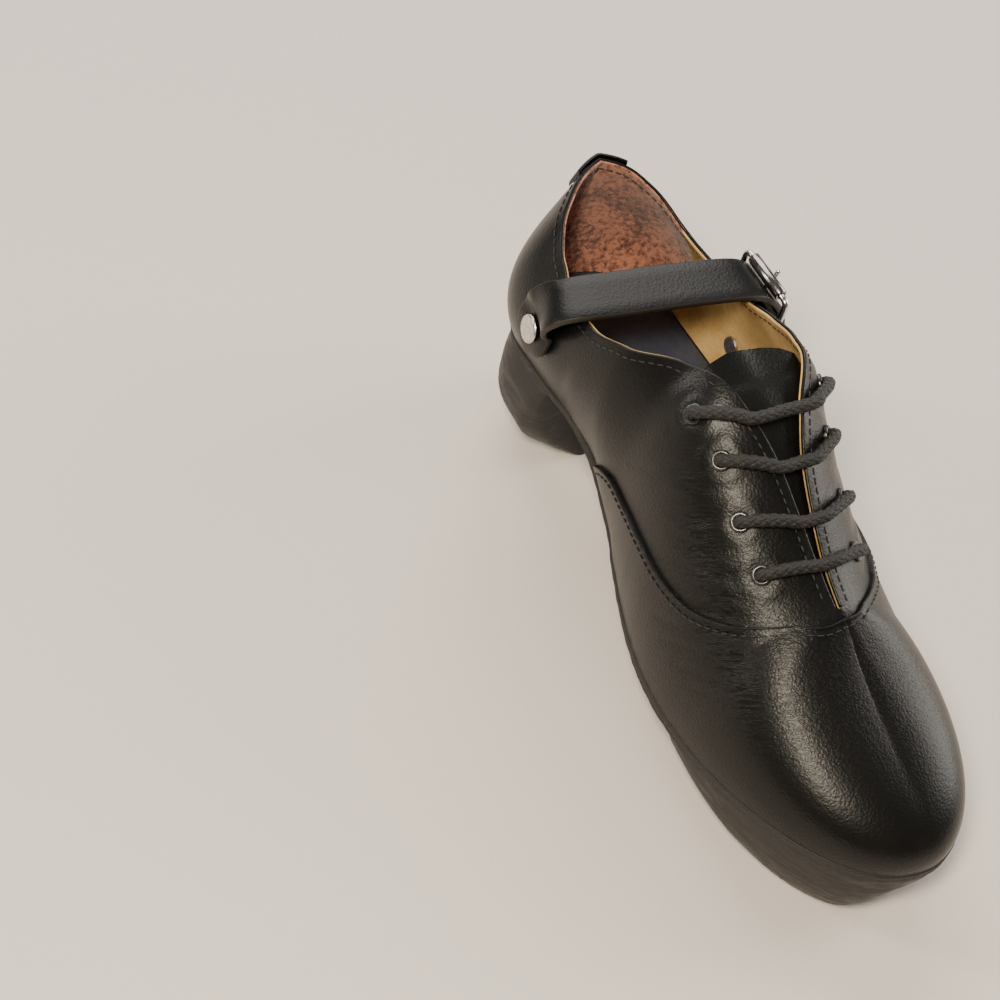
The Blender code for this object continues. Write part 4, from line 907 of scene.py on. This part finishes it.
# One row is one level of the heel, each value a share: of the block's height, of the top's half width, of the
# way from the top's back to the bottom's, of the corner's cut and of the breast's hollow.
HeelLevel = namedtuple("HeelLevel", "height half back corner hollow")
heelRows = (
    HeelLevel(0.00, 0.58, 1.00, 1.00, 0.30),
    HeelLevel(0.14, 0.80, 0.72, 0.95, 0.62),
    HeelLevel(0.34, 1.05, 0.45, 0.80, 0.95),
    HeelLevel(0.56, 1.17, 0.22, 0.60, 1.00),
    HeelLevel(0.78, 1.15, 0.08, 0.35, 0.70),
    HeelLevel(1.00, 1.03, 0.00, 0.12, 0.20),
)


# Outline of the heel at a level: hollowed breast, corner facets with softened edges, round back.
def heelRing(height, inwards, blockHeight):
    half = levelValue(heelRows, "half", height) * heel["topWidth"] / 2 - inwards
    back = heel["topBack"] + inwards
    back += levelValue(heelRows, "back", height) * (heel["bottomBack"] - heel["topBack"])
    cut = levelValue(heelRows, "corner", height) * heel["corner"]
    breast = heel["breast"] - inwards
    roundX = back + min(half, (breast - back) * heel["roundShare"])
    soft = min(0.25, heel["edge"] / max(cut, 1e-5))
    side = []
    for share in np.linspace(0, 1 - soft * 0.5, 6):
        hollow = heel["hollow"] * levelValue(heelRows, "hollow", height) * (1 - share**2)
        side.append((breast - hollow, share * (half - cut)))
    for share in (soft, 0.5, 1 - soft):
        side.append((breast - cut * share, half - cut + cut * share))
    for share in np.linspace(0.08, 1, 5):
        side.append((breast - cut - (breast - cut - roundX) * share, half))
    for angle in np.radians(np.linspace(90, 180, 17)[1:]):
        side.append((roundX + (roundX - back) * math.cos(angle), half * math.sin(angle)))
    loop = [(x, -y) for x, y in side[::-1]] + side
    return np.array([(x, y, height * blockHeight) for x, y in loop])


# The heel block: sides that swell and then draw in to the bottom, a hollowed breast, cut corners.
def buildHeel():
    blockHeight = last["seat"] - pieceGap - sole["shank"] - pieceGap
    heights = np.linspace(0, 1, heel["levels"])
    rounding = [(0.0, 0.0020), (0.0, heel["edge"])] + [(h, 0.0) for h in heights[1:-1]]
    rounding += [(1.0, 0.0003), (1.0, 0.0020)]
    rings = [heelRing(height, inwards, blockHeight) for height, inwards in rounding]
    made = loftPiece("heelBlock", rings, block)
    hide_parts("heel")
    return made


sockMaterial = liningMaterial("insoleSockLeather", sock, nap=False)
buildSole()
buildInsole()
buildTip()
buildHeel()
print("sole and blocks made", flush=True)


# Tubes, turned bodies and bars
# A tube or bar through rings of points, wrapped round; its ends are capped unless its last ring meets its
# first.
def tubePiece(name, points, material, uv=None, closed=False, attributes=None, sharp=50):
    rows, columns = points.shape[:2]
    faces = gridFaces(rows, columns, wrap=True, closed=closed)
    if not closed:
        faces += [list(range(columns)), list(range((rows - 1) * columns, rows * columns))]
    uv = None if uv is None else uv.reshape(-1, 2)
    made = meshPiece(name, points.reshape(-1, 3), faces, material, uv, attributes)
    turnOutwards(made)
    made.data.set_sharp_from_angle(angle=math.radians(sharp))
    return made


# Points along a smooth curve through the given ones: cubics whose tangents join each point's neighbours.
def smoothPath(points, count):
    points = np.asarray(points, float)
    run = runAlong(points)
    wanted = np.linspace(0, run[-1], count)
    at = np.clip(np.searchsorted(run, wanted, "right") - 1, 0, len(points) - 2)
    t = ((wanted - run[at]) / (run[at + 1] - run[at]))[:, None]
    before, after = points[np.maximum(at - 1, 0)], points[np.minimum(at + 2, len(points) - 1)]
    here, there = points[at], points[at + 1]
    return 0.5 * (2 * here + (there - before) * t + (2 * before - 5 * here + 4 * there - after) * t**2
                  + (3 * here - before - 3 * there + after) * t**3)


# A body turned about an axis: point = centre + radius * (cos angle, sin angle) across the axis + height
# along it.
def turnedPiece(name, profile, centre, axis, material, segments=48, hole=False):
    profile = np.asarray(profile, float)
    axis = unit(np.asarray(axis, float))
    first = unit(np.cross(axis, (0.3, 0.9, 0.1)))
    second = np.cross(axis, first)
    angle = np.linspace(0, 2 * math.pi, segments, endpoint=False)[:, None, None]
    radius, height = profile[:, :1], profile[:, 1:]
    points = np.asarray(centre) + radius * (np.cos(angle) * first + np.sin(angle) * second) + height * axis
    count = len(profile)
    faces = gridFaces(segments, count, wrap=hole, closed=True)
    made = meshPiece(name, points.reshape(-1, 3), faces, material)
    turnOutwards(made)
    made.data.set_sharp_from_angle(angle=math.radians(45))
    return made


# A round bar along a path that lies in a plane: point = path + radius * (side * cos + flat * sin).
def barPiece(name, path, radius, flat, material, closed=False):
    path = np.asarray(path, float)
    if closed:
        along = unit(np.roll(path, -1, axis=0) - np.roll(path, 1, axis=0))
    else:
        along = unit(np.gradient(path, axis=0))
    side = unit(np.cross(along, flat))
    other = np.cross(along, side)
    angle = np.linspace(0, 2 * math.pi, 18, endpoint=False)[None, :, None]
    radius = np.broadcast_to(radius, len(path))[:, None, None]
    points = path[:, None] + radius * (side[:, None] * np.cos(angle) + other[:, None] * np.sin(angle))
    return tubePiece(name, points, material, closed=closed)


# Tongue
tongue = dict(thickness=0.0018, half=0.0215, shift=0.0010, drop=0.0017, topStation=9, blend=0.006, rows=70,
              columns=31)
# One row is one place along the tongue: x as a share of the length, half width as a share of the tongue's.
tongueRows = ((0.716, 0.45), (0.667, 0.62), (0.611, 0.78), (0.548, 0.92), (0.484, 1.00), (0.455, 1.00),
              (0.432, 0.97), (0.415, 0.86), (0.402, 0.62), (0.396, 0.30))


# Height of the outer face of the facings at one x, along y, bridged across the lacing gap.
def facingHeight(x, y):
    held = np.clip(x, medialRows[tongue["topStation"]].x * last["length"], last["throat"])
    station = stationOfX(held)
    heights = []
    for side in sides:
        line = lastPoint(station, np.linspace(0.55, 1, 60), side)
        outs = np.abs(line[:, 1] - axisY(held))
        z = np.interp(np.abs(y - axisY(x)), outs[::-1], line[::-1, 2])
        behind = lastPoint(tongue["topStation"], 1.0, side)
        ahead = lastPoint(tongue["topStation"] + 1, 1.0, side)
        heights.append(z + (ahead[2] - behind[2]) / (ahead[0] - behind[0]) * (x - held))
    share = eased(y, -tongue["blend"], tongue["blend"])
    return heights[0] * (1 - share) + heights[1] * share


# A sheet under the facings, its edge rounded: z is the facing's height less the wall and a growing drop.
def buildTongue():
    xs = np.array([row[0] for row in tongueRows]) * last["length"]
    halves = np.array([row[1] for row in tongueRows]) * tongue["half"]
    along = 1 - (1 - np.linspace(0, 1, tongue["rows"])) ** 1.6
    known = np.linspace(0, 1, len(xs))
    x = np.interp(along, known, xs)
    half = fair(known, halves, along)
    across = np.linspace(-1, 1, tongue["columns"])
    y = axisY(x)[:, None] + tongue["shift"] + across * half[:, None]
    z = np.array([facingHeight(place, line) for place, line in zip(x, y)])
    z = z - wall - tongue["drop"] * (1 + np.abs(y) / tongue["half"])
    for _ in range(3):
        z[1:-1, 1:-1] = (z[:-2, 1:-1] + z[2:, 1:-1] + z[1:-1, :-2] + z[1:-1, 2:]) / 4
    outer = np.stack(np.broadcast_arrays(x[:, None], y, z), -1)
    inner = outer - (0, 0, tongue["thickness"])
    bead = np.array((0, tongue["thickness"] * 0.35, -tongue["thickness"] / 2))
    points = np.concatenate([inner, outer[:, -1:] + bead, outer[:, ::-1],
                             outer[:, :1] + bead * (1, -1, 1)], 1)
    made = tubePiece("tonguePiece", points, blackPlain, points[..., :2])
    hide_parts("tongue")


# Straps, buckle and rivets
strap = dict(width=0.0225, thickness=0.0024, tab=0.0185, shoulderStart=0.0133, shoulderLength=0.0060,
             slant=0.45, short=0.0016, endFlat=0.0012, tailStand=0.0072, edge=0.0004, spacing=0.0009)
buckle = dict(medialX=0.1798, medialRise=0.3193, x=0.2468, topRise=0.4886, hingeRise=0.3409, shortRise=0.1420,
              wire=0.0022, roller=0.0044, rollerLength=0.0184, rollerGap=0.0003, sideGap=0.0006,
              prong=0.0018, prongStart=0.0060, prongTip=0.0030, cornerRound=2.6, outerSide=0.030)
rivet = dict(head=0.0098, headHeight=0.0012, headGap=0.0006, shank=0.0034, washer=0.0070, washerHeight=0.0008)
# One row is one point of the strap between the quarters: x of the length, y of the ball, rise of the collar.
strapOver = ((0.1837, -0.4667, 0.4205), (0.1917, -0.4643, 0.4716), (0.2004, -0.4464, 0.5114),
             (0.2071, -0.4107, 0.5375), (0.2135, -0.3452, 0.5511), (0.2214, -0.2143, 0.5545),
             (0.2302, 0.0000, 0.5523), (0.2393, 0.2024, 0.5455), (0.2448, 0.3274, 0.5318),
             (0.2468, 0.3988, 0.5000))
# The tail on the outer quarter: rise of the collar, and how far it stands off as a share of tailStand.
strapTail = ((0.403, 0.89), (0.352, 0.97), (0.301, 1.00), (0.244, 0.81), (0.199, 0.58))


# A height in metres from a rise above the heel seat as a share of the collar's.
def heightAt(rise):
    return last["seat"] + rise * last["collar"]


# Points evenly along a path, closer together near a round end.
def endSpaced(path, half, bothEnds):
    run = runAlong(path)
    extra = half * (1 - np.cos(np.radians((0, 6, 12, 19, 27, 36, 46, 57, 70, 90))))
    middle = np.arange(extra[-1] + strap["spacing"], run[-1] - extra[-1] * bothEnds - strap["spacing"] / 2,
                       strap["spacing"])
    wanted = np.concatenate([extra, middle, (run[-1] - extra[::-1]) if bothEnds else [run[-1]]])
    return np.stack([np.interp(wanted, run, path[:, k]) for k in range(3)], 1)


# Half width at a distance from a round end: the chord of the circle, never less than endFlat.
def roundEnd(distance, half):
    inside = np.clip(half - distance, 0, half)
    return np.maximum(np.sqrt(half**2 - inside**2), strap["endFlat"])


# A strap swept along a path: point = centre + across * side * (half width - inwards) + normal * height,
# with normal = across x along. UV is metres along and across, edge is 1 on the cut edges.
def strapPiece(name, path, widthwise, halfWidth, thickness, material):
    along = unit(np.gradient(path, axis=0))
    widthwise = np.broadcast_to(np.asarray(widthwise, float), path.shape)
    across = unit(widthwise - (widthwise * along).sum(1, keepdims=True) * along)
    normal = np.cross(across, along)
    half, soft = thickness / 2, strap["edge"]
    section = np.array([(-1, -half + soft, 0), (-1, -half, soft), (-0.5, -half, soft), (0.5, -half, soft),
                        (1, -half, soft), (1, -half + soft, 0), (1, half - soft, 0),
                        (1, half - soft * 0.3, soft * 0.3), (1, half, soft), (0.5, half, soft),
                        (-0.5, half, soft), (-1, half, soft), (-1, half - soft * 0.3, soft * 0.3),
                        (-1, half - soft, 0)])
    wide = section[:, 0] * (halfWidth[:, None] - section[:, 2])
    points = path[:, None] + across[:, None] * wide[..., None] + normal[:, None] * section[:, 1, None]
    uv = np.stack(np.broadcast_arrays(runAlong(path)[:, None], wide), -1)
    edge = np.broadcast_to((section[:, 2] < soft * 0.9), wide.shape).ravel().astype(float)
    made = tubePiece(name, points, material, uv, attributes={"edge": edge})
    return made, normal


# The long strap: a smooth path through the tab on the medial quarter, the rows of strapOver and the tail. Its
# half width is the least of the strap's and of both round ends.
def buildLongStrap():
    lying = curvedGap + pieceGap + strap["thickness"] / 2
    medialX, medialZ = buckle["medialX"] * last["length"], heightAt(buckle["medialRise"])
    buckleX = buckle["x"] * last["length"]
    tab = [sidePoint(medialX, medialZ + rise, "medial", lying)[0]
           for rise in (-strap["tab"] / 2, -0.0045, 0.0, 0.0040)]
    over = [np.array((x * last["length"], y * last["ball"], heightAt(rise))) for x, y, rise in strapOver]
    tail = [sidePoint(buckleX, heightAt(rise), "lateral", lying + out * strap["tailStand"])[0]
            for rise, out in strapTail]
    path = endSpaced(smoothPath(tab + over + tail, 400), strap["tab"] / 2, True)
    run = runAlong(path)
    wider = eased(run, strap["shoulderStart"], strap["shoulderStart"] + strap["shoulderLength"])
    half = (strap["tab"] + (strap["width"] - strap["tab"]) * wider) / 2
    ends = roundEnd(run, strap["tab"] / 2), roundEnd(run[-1] - run, strap["width"] / 2)
    half = np.minimum(half, np.minimum(*ends))
    share = run / run[-1]
    slant = strap["slant"] * eased(share, 0.08, 0.20) * (1 - eased(share, 0.30, 0.70))
    lie = np.stack([np.ones_like(share), -slant, np.zeros_like(share)], 1)
    made, normal = strapPiece("strapLongPiece", path, lie, half, strap["thickness"], strapLeather)
    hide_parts("strap_long")
    return path, normal


# Frame, roller and prong; the frame is a rounded rectangle between the top bar and the hinge.
def buildBuckle(path, normal):
    buckleX = buckle["x"] * last["length"]
    outer = path[:, 1] > buckle["outerSide"]
    bar, roller = buckle["wire"] / 2, buckle["roller"] / 2

    def nearest(z):
        return int(np.argmin(np.where(outer, np.abs(path[:, 2] - z), 9)))

    top = nearest(heightAt(buckle["topRise"]))
    out = normal[top]
    topBar = path[top] + out * (strap["thickness"] / 2 + pieceGap + roller)
    shortLying = curvedGap + pieceGap + strap["short"] / 2
    fold = bar + pieceGap + strap["short"] / 2
    hinge, hingeOut = sidePoint(buckleX, heightAt(buckle["hingeRise"]), "lateral", shortLying + fold)
    reach = np.array((strap["width"] / 2 + buckle["sideGap"] + bar, 0, 0))
    corners = np.array((topBar - reach, topBar + reach, hinge + reach, hinge - reach))
    before, after = np.roll(corners, 1, axis=0) - corners, np.roll(corners, -1, axis=0) - corners
    t = np.linspace(0, 1, 7)[:, None]
    turns = [corner + unit(b) * buckle["cornerRound"] * bar * (1 - t) ** 2
             + unit(a) * buckle["cornerRound"] * bar * t**2 for corner, b, a in zip(corners, before, after)]
    flat = unit(np.cross(reach, topBar - hinge))
    made = barPiece("buckleFramePiece", np.concatenate(turns), bar, flat, steel, closed=True)
    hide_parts("buckle_frame")
    hollow, halfLength, soft = bar + buckle["rollerGap"], buckle["rollerLength"] / 2, 0.0003
    tube = [(hollow, -halfLength), (roller - soft, -halfLength), (roller, -halfLength + soft),
            (roller, halfLength - soft), (roller - soft, halfLength), (hollow, halfLength)]
    made = turnedPiece("buckleRollerPiece", tube, topBar, (1, 0, 0), rollerSteelDarkReflection, hole=True)
    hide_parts("buckle_roller")

    up = unit(np.cross(hingeOut, (-1, 0, 0)))
    up = up * (-1 if up[2] < 0 else 1)
    short = [sidePoint(buckleX, heightAt(buckle["shortRise"]) + rise, "lateral", shortLying)[0]
             for rise in (-strap["tab"] / 2, -0.004, 0.0, 0.004, 0.008)]
    short += [hinge + (hingeOut * math.sin(a) + up * math.cos(a)) * fold
              for a in np.radians(np.linspace(-90, 130, 9))]
    shortPath = endSpaced(smoothPath(short, 160), strap["tab"] / 2, False)
    shortHalf = roundEnd(runAlong(shortPath), strap["tab"] / 2)
    made, _ = strapPiece("strapBucklePiece", shortPath, (1, 0, 0), shortHalf, strap["short"], strapLeather)
    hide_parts("strap_buckle")

    pin = buckle["prong"] / 2
    low = nearest(heightAt(buckle["hingeRise"]) + buckle["prongStart"])
    under = path[low] - normal[low] * (strap["thickness"] / 2 + pieceGap + pin)
    clear = roller + 2 * pieceGap + pin
    straight = Vector(topBar - under)
    lift = math.asin(clear / straight.length)
    ways = [(Matrix.Rotation(angle, 3, "X") @ straight).normalized() for angle in (lift, -lift)]
    away = np.array(max(ways, key=lambda way: way.dot(Vector(out))))
    reachOut = math.sqrt(straight.length**2 - clear**2) + buckle["prongTip"]
    steps = np.array((0.0, 0.02, 0.06, 0.15, 0.5, 0.85, 0.94, 0.98, 1.0))
    ends = np.array((0.25, 0.7, 0.95, 1.0, 1.0, 1.0, 0.95, 0.7, 0.25))
    prongPath = under + away * (steps * reachOut)[:, None]
    made = barPiece("buckleProngPiece", prongPath, pin * ends, (1, 0, 0), steel)
    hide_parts("buckle_prong")


# A rivet: washer inside, shank through the leathers, and a head whose dome is a cosine of its share of the
# radius.
def buildRivets():
    for name, node, x, rise, side, face in (
        ("rivetMedialPiece", "rivet_medial", buckle["medialX"], buckle["medialRise"], "medial",
         strap["thickness"]),
        ("rivetLateralPiece", "rivet_lateral", buckle["x"], buckle["shortRise"], "lateral", strap["short"]),
    ):
        centre, normal = sidePoint(x * last["length"], heightAt(rise), side, 0.0)
        washer, disc = -wall - curvedGap, rivet["washer"] / 2
        head = curvedGap + pieceGap + face + rivet["headGap"]
        radius, high = rivet["head"] / 2, rivet["headHeight"]
        dome = np.linspace(0.88, 0.002, 8)
        profile = [(0.00001, washer - rivet["washerHeight"]), (disc * 0.9, washer - rivet["washerHeight"]),
                   (disc, washer - 0.0002), (disc, washer), (rivet["shank"] / 2, washer),
                   (rivet["shank"] / 2, head),
                   (radius * 0.97, head), (radius, head + high * 0.25), (radius * 0.97, head + high * 0.6)]
        profile += [(radius * s, head + high * (0.72 + 0.28 * math.cos(s * 1.5))) for s in dome]
        made = turnedPiece(name, profile, centre, normal, rivetSteel)
        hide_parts(node)


# Eyelets and laces
eyelet = dict(hole=0.0036, barrel=0.0044, flange=0.0068, thickness=0.0006)
lace = dict(diameter=0.0046, pitch=0.0064, strands=6, relief=0.27, into=0.0034, step=0.00017, around=56,
            ridge=0.6, lower=0.8)


# A rolled ring: its flange is an arch from the barrel out to the rim.
def buildEyelets():
    for side in sides:
        for k, pair in enumerate(eyeletPairs):
            _, centre, normal = eyeletPlace(pair, side)
            inner, rim = eyelet["hole"] / 2, eyelet["flange"] / 2
            arch = np.linspace(0, math.pi, 9)
            crown = [((inner + rim) / 2 - (rim - inner) / 2 * math.cos(a),
                      curvedGap + eyelet["thickness"] * (0.2 + 1.1 * math.sin(a))) for a in arch]
            profile = [(inner, -wall - pieceGap), *crown, (rim, curvedGap * 0.4), (eyelet["barrel"] / 2, 0.0),
                       (eyelet["barrel"] / 2, -wall - pieceGap)]
            made = turnedPiece(f"eyelet{side.capitalize()}{k + 1}", profile, centre, normal, blackSteel,
                               40, hole=True)
            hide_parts(f"eyelet_{side}_{k + 1}")


# One strand of lace from down in its eyelet, over the facing, to the facing's edge.
def laceArm(pair, side, lift):
    station, centre, normal = eyeletPlace(pair, side)
    arm = [centre - normal * lace["into"], centre - normal * lace["into"] * 0.4,
           centre + normal * lift * 0.72]
    for share in (0.22, 0.45, 0.70, 0.92):
        where = station + pair[2] * share
        up = shareBelowEdge(where, pair[1] * last["ball"] * (1 - share), side)
        arm.append(lastPoint(where, up, side) + lastNormal(where, up, side) * lift)
    return arm


# A braided cord: radius = R * (1 - relief + relief * ridge), where two sets of strands wind opposite ways,
# strand = angle share * strands +- 2 * run / pitch, each ridge = |sin(pi * strand)|^0.6, and a check pattern
# says which set lies on top. The cord is squeezed to a smaller size inside the eyelets.
def buildLaces():
    lift = lace["diameter"] / 2 + curvedGap + eyelet["thickness"]
    for k, pair in enumerate(eyeletPairs):
        arms = [laceArm(pair, side, lift) for side in sides]
        middle = (arms[0][-1] + arms[1][-1]) / 2
        coarse = smoothPath(arms[0] + [middle] + arms[1][::-1], 400)
        count = int(runAlong(coarse)[-1] / lace["step"])
        path = np.stack([np.interp(np.linspace(0, 1, count), np.linspace(0, 1, 400), coarse[:, c])
                         for c in range(3)], 1)
        run = runAlong(path)
        along = unit(np.gradient(path, axis=0))
        side = unit(np.cross(along, (1.0, 0.0, 0.15)))
        other = np.cross(along, side)
        angle = np.linspace(0, 2 * math.pi, lace["around"], endpoint=False)
        turn = angle / (2 * math.pi) * lace["strands"]
        first, second = turn + run[:, None] / lace["pitch"] * 2, turn - run[:, None] / lace["pitch"] * 2
        first, second = np.sin(math.pi * first), np.sin(math.pi * second)
        ridge = np.where(first * second > 0, np.abs(first) ** lace["ridge"],
                         np.abs(second) ** lace["ridge"] * lace["lower"])
        squeeze = np.minimum(run, run[-1] - run)
        size = 0.36 + 0.14 * eased(squeeze, lace["into"] * 0.6, lace["into"] * 1.6)
        radius = lace["diameter"] * size[:, None] * (1 - lace["relief"] + lace["relief"] * ridge)
        flat = 0.90 + 0.10 * (1 - eased(squeeze, 0.002, 0.006))
        points = path[:, None] + (side[:, None] * (radius * np.cos(angle))[..., None]
                                  + other[:, None] * (radius * np.sin(angle) * flat[:, None])[..., None])
        uv = np.stack(np.broadcast_arrays(run[:, None], angle * lace["diameter"] / 2), -1)
        made = tubePiece(f"lacePiece{k + 1}", points, cordThread, uv, sharp=180)
        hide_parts("lace_bar" if k == len(eyeletPairs) - 1 else f"lace_crossing_{k + 1}")


# Stitching
stitch = dict(length=0.0023, pitch=0.0031, radius=0.00026, liningRadius=0.0003, vampInset=0.0027,
              edgeInset=0.0030, stand=0.00012, vampStand=0.00022, throatGap=0.15)


# Stitches at even steps along a line: each is a low bead, point = place + along * length * t
# + (across * cos + normal * sin) * radius * sqrt(1 - (2t - 1)^4).
def stitchPiece(name, lines, material, radius):
    t = np.linspace(0, 1, 7)[:, None]
    angle = np.linspace(0, 2 * math.pi, 6, endpoint=False)
    fat = radius * np.sqrt(np.clip(1 - (2 * t - 1) ** 4, 0.04, 1))
    bead = np.broadcast_arrays((t - 0.5) * stitch["length"], fat * np.cos(angle), fat * np.sin(angle))
    bead = np.stack(bead, -1).reshape(-1, 3)
    places, frames = [], []
    for path, normal in lines:
        run = runAlong(path)
        wanted = np.arange(stitch["pitch"] / 2, run[-1], stitch["pitch"])
        place = np.stack([np.interp(wanted, run, path[:, c]) for c in range(3)], 1)
        up = unit(np.stack([np.interp(wanted, run, normal[:, c]) for c in range(3)], 1))
        along = unit(np.stack([np.interp(wanted, run, np.gradient(path, axis=0)[:, c]) for c in range(3)], 1))
        places.append(place)
        frames.append(np.stack([along, unit(np.cross(up, along)), up], 1))
    places, frames = np.concatenate(places), np.concatenate(frames)
    points = places[:, None] + np.einsum("bk,nkc->nbc", bead, frames)
    one = np.array(gridFaces(7, 6, wrap=True))
    caps = np.array([(0, 1, 2, 3), (0, 3, 4, 5), (36, 39, 38, 37), (36, 41, 40, 39)])
    one = np.concatenate([one, caps])
    faces = (one[None] + (np.arange(len(places)) * len(bead))[:, None, None]).reshape(-1, 4)
    made = meshPiece(name, points.reshape(-1, 3), faces.tolist(), material)
    turnOutwards(made)
    return made


# A line that follows the top edge of the quarters at a distance below it.
def edgeLine(side, distance, offset):
    stations = np.linspace(0.0, backSections - stitch["throatGap"], 240)
    ups = np.array([shareBelowEdge(station, distance, side) for station in stations])
    normal = lastNormal(stations, ups, side)
    return lastPoint(stations, ups, side) + normal * offset, normal


# A line that follows the vamp's edge at a distance inside it, along the wing's round end as well.
def vampLine(side, inset, offset):
    wingEnd = last["wing"] + upper["wingRound"]
    stations = np.concatenate([last["wing"] + upper["wingRound"] * np.linspace(0, 1, 40)[:-1] ** 2,
                               np.linspace(wingEnd, lastStation, 400)])
    ups = seamAt(stations, side)
    line, normal = lastPoint(stations, ups, side), lastNormal(stations, ups, side)
    inwards = np.cross(unit(np.gradient(line, axis=0)), normal)
    below = lastPoint(stations, ups * 0.98, side) - line
    inwards *= np.sign(np.median((inwards * below).sum(1)))
    moved = line + inwards * inset + normal * offset
    keep = moved[:, 2] > bottomHeight(moved[:, 0]) + 0.002
    return moved[keep], normal[keep]


def buildStitches():
    lift, inset = upper["vampLift"] + stitch["vampStand"], stitch["edgeInset"]
    inner = -wall * upper["liningShare"] - stitch["stand"]
    stitchPiece("vampStitches", [vampLine(side, stitch["vampInset"], lift) for side in sides], stitchThread,
                stitch["radius"])
    stitchPiece("collarStitches", [edgeLine(side, inset, stitch["stand"]) for side in sides], stitchThread,
                stitch["radius"])
    stitchPiece("liningStitches", [edgeLine(side, inset, inner) for side in sides], brownThread,
                stitch["liningRadius"])


# Back tab: a small piece over the seam at the back of the collar, folded over its top.
backTab = dict(width=0.020, height=0.0085, thickness=0.0012, rim=0.12, rows=14, columns=33)


# Point = surface + normal * stand-off, where the stand-off is a quarter circle of the distance from the rim.
def buildBackTab():
    reach = backTab["width"] / 2 / float(section(0.0, "medial")["top"])
    final = math.degrees(reach) / (medialRows[0].turn - medialRows[1].turn)
    rows = []
    share, rim = np.linspace(0, 1, backTab["rows"]), backTab["rim"]
    for s in np.linspace(-1, 1, backTab["columns"]):
        side = "lateral" if s < 0 else "medial"
        station = abs(s) * final
        ups = np.array([shareBelowEdge(station, down, side) for down in backTab["height"] * share[::-1]])
        normal = lastNormal(station, np.minimum(ups, 0.98), side)
        line = lastPoint(station, ups, side)
        near = np.minimum(1 - abs(s), rim) / rim * np.minimum(share, rim) / rim
        stand = curvedGap + backTab["thickness"] * np.sqrt(np.clip(near * (2 - near), 0, 1)) * 0.98
        inner = line + normal * curvedGap
        outer = line + normal * stand[:, None]
        over = [line[-1] + normal[-1] * z + np.array((0, 0, h)) * backTab["thickness"]
                for z, h in ((curvedGap, 0.9), (curvedGap + backTab["thickness"] * 0.7, 0.75))]
        rows.append(np.concatenate([inner, over, outer[::-1]]))
    made = tubePiece("backTabPiece", np.array(rows), blackPlain)
    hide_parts("back_tab")


strapLeather = blackLeather("strapLeather", edged=True)
# The roller's steel is the frame's nickel steel made darker: a painted dark reflection standing in for the
# dark surroundings the roller mirrors.
rollerSteelDarkReflection = plainMaterial("rollerSteelDarkReflection", (0.26, 0.25, 0.24), 0.22, 500.0, 0.00004, 0.15, 1.0)
rivetSteel = plainMaterial("rivetSteel", (0.50, 0.47, 0.44), 0.34, 900.0, 0.00012, 0.25, 1.0)
buildTongue()
strapPath, strapNormal = buildLongStrap()
buildBuckle(strapPath, strapNormal)
buildRivets()
print("tongue, straps and buckle made", flush=True)
buildEyelets()
buildLaces()
buildStitches()
buildBackTab()
print("eyelets, laces and stitches made", flush=True)


# Stage, lights, camera
view = dict(place=(0.4281, -0.3333, 0.5777), right=(0.441, 0.884, 0.158), down=(0.747, -0.263, -0.610),
            focal=2100.0, pixels=1000, sensor=36.0)
stage = dict(half=2, floor=(0.72, 0.66, 0.61, 1), roughness=0.9, air=(1.0, 0.97, 0.93, 1), airStrength=0.14)


# A flat pale floor and a dim, even surrounding light.
def buildStage():
    made, _, shader = newMaterial("paleFloor")
    shader.inputs["Base Color"].default_value = stage["floor"]
    shader.inputs["Roughness"].default_value = stage["roughness"]
    mesh = bpy.data.meshes.new("floor")
    h = stage["half"]
    mesh.from_pydata([(-h, -h, 0), (h, -h, 0), (h, h, 0), (-h, h, 0)], [], [(0, 1, 2, 3)])
    mesh.materials.append(made)
    floor = bpy.data.objects.new("floor", mesh)
    bpy.context.scene.collection.objects.link(floor)
    world = bpy.data.worlds.new("studio")
    bpy.context.scene.world = world
    world.use_nodes = True
    air = world.node_tree.nodes["Background"]
    air.inputs["Color"].default_value = stage["air"]
    air.inputs["Strength"].default_value = stage["airStrength"]


# A rectangular light that looks at a target.
def areaLight(name, place, target, size, watts, colour):
    light = bpy.data.lights.new(name, "AREA")
    light.shape = "RECTANGLE"
    light.size, light.size_y = size
    light.energy = watts
    light.color = colour
    made = bpy.data.objects.new(name, light)
    made.location = place
    made.rotation_euler = (Vector(target) - Vector(place)).to_track_quat("-Z", "Y").to_euler()
    bpy.context.scene.collection.objects.link(made)


# The photograph's camera: its place and axes as fitted to the shoe, rolled with the photograph.
def buildCamera():
    right = Vector(view["right"]).normalized()
    down = Vector(view["down"])
    down = (down - down.dot(right) * right).normalized()
    back = right.cross(-down)
    turn = Matrix((right, -down, back)).transposed().to_4x4()
    camera = bpy.data.cameras.new("photoCamera")
    camera.sensor_width = view["sensor"]
    camera.lens = view["focal"] * view["sensor"] / view["pixels"]
    made = bpy.data.objects.new("photoCamera", camera)
    made.matrix_world = Matrix.Translation(Vector(view["place"]) - Vector((originX, 0, 0))) @ turn
    bpy.context.scene.collection.objects.link(made)
    bpy.context.scene.camera = made


buildStage()
areaLight("keyLight", (0.36, -0.42, 0.74), (0.16, 0.0, 0.05), (0.10, 0.20), 8.5, (1.0, 0.88, 0.70))
areaLight("backLight", (-0.95, 0.30, 0.95), (0.05, 0.0, 0.0), (1.2, 1.2), 20.0, (1.0, 0.95, 0.90))
areaLight("sideLight", (0.20, 1.05, 0.45), (0.10, 0.0, 0.0), (0.6, 0.8), 11.0, (1.0, 0.94, 0.86))
areaLight("medialLight", (-0.45, -0.80, 0.55), (0.07, 0.0, 0.03), (0.12, 0.45), 4.0, (1.0, 0.94, 0.86))
buildCamera()

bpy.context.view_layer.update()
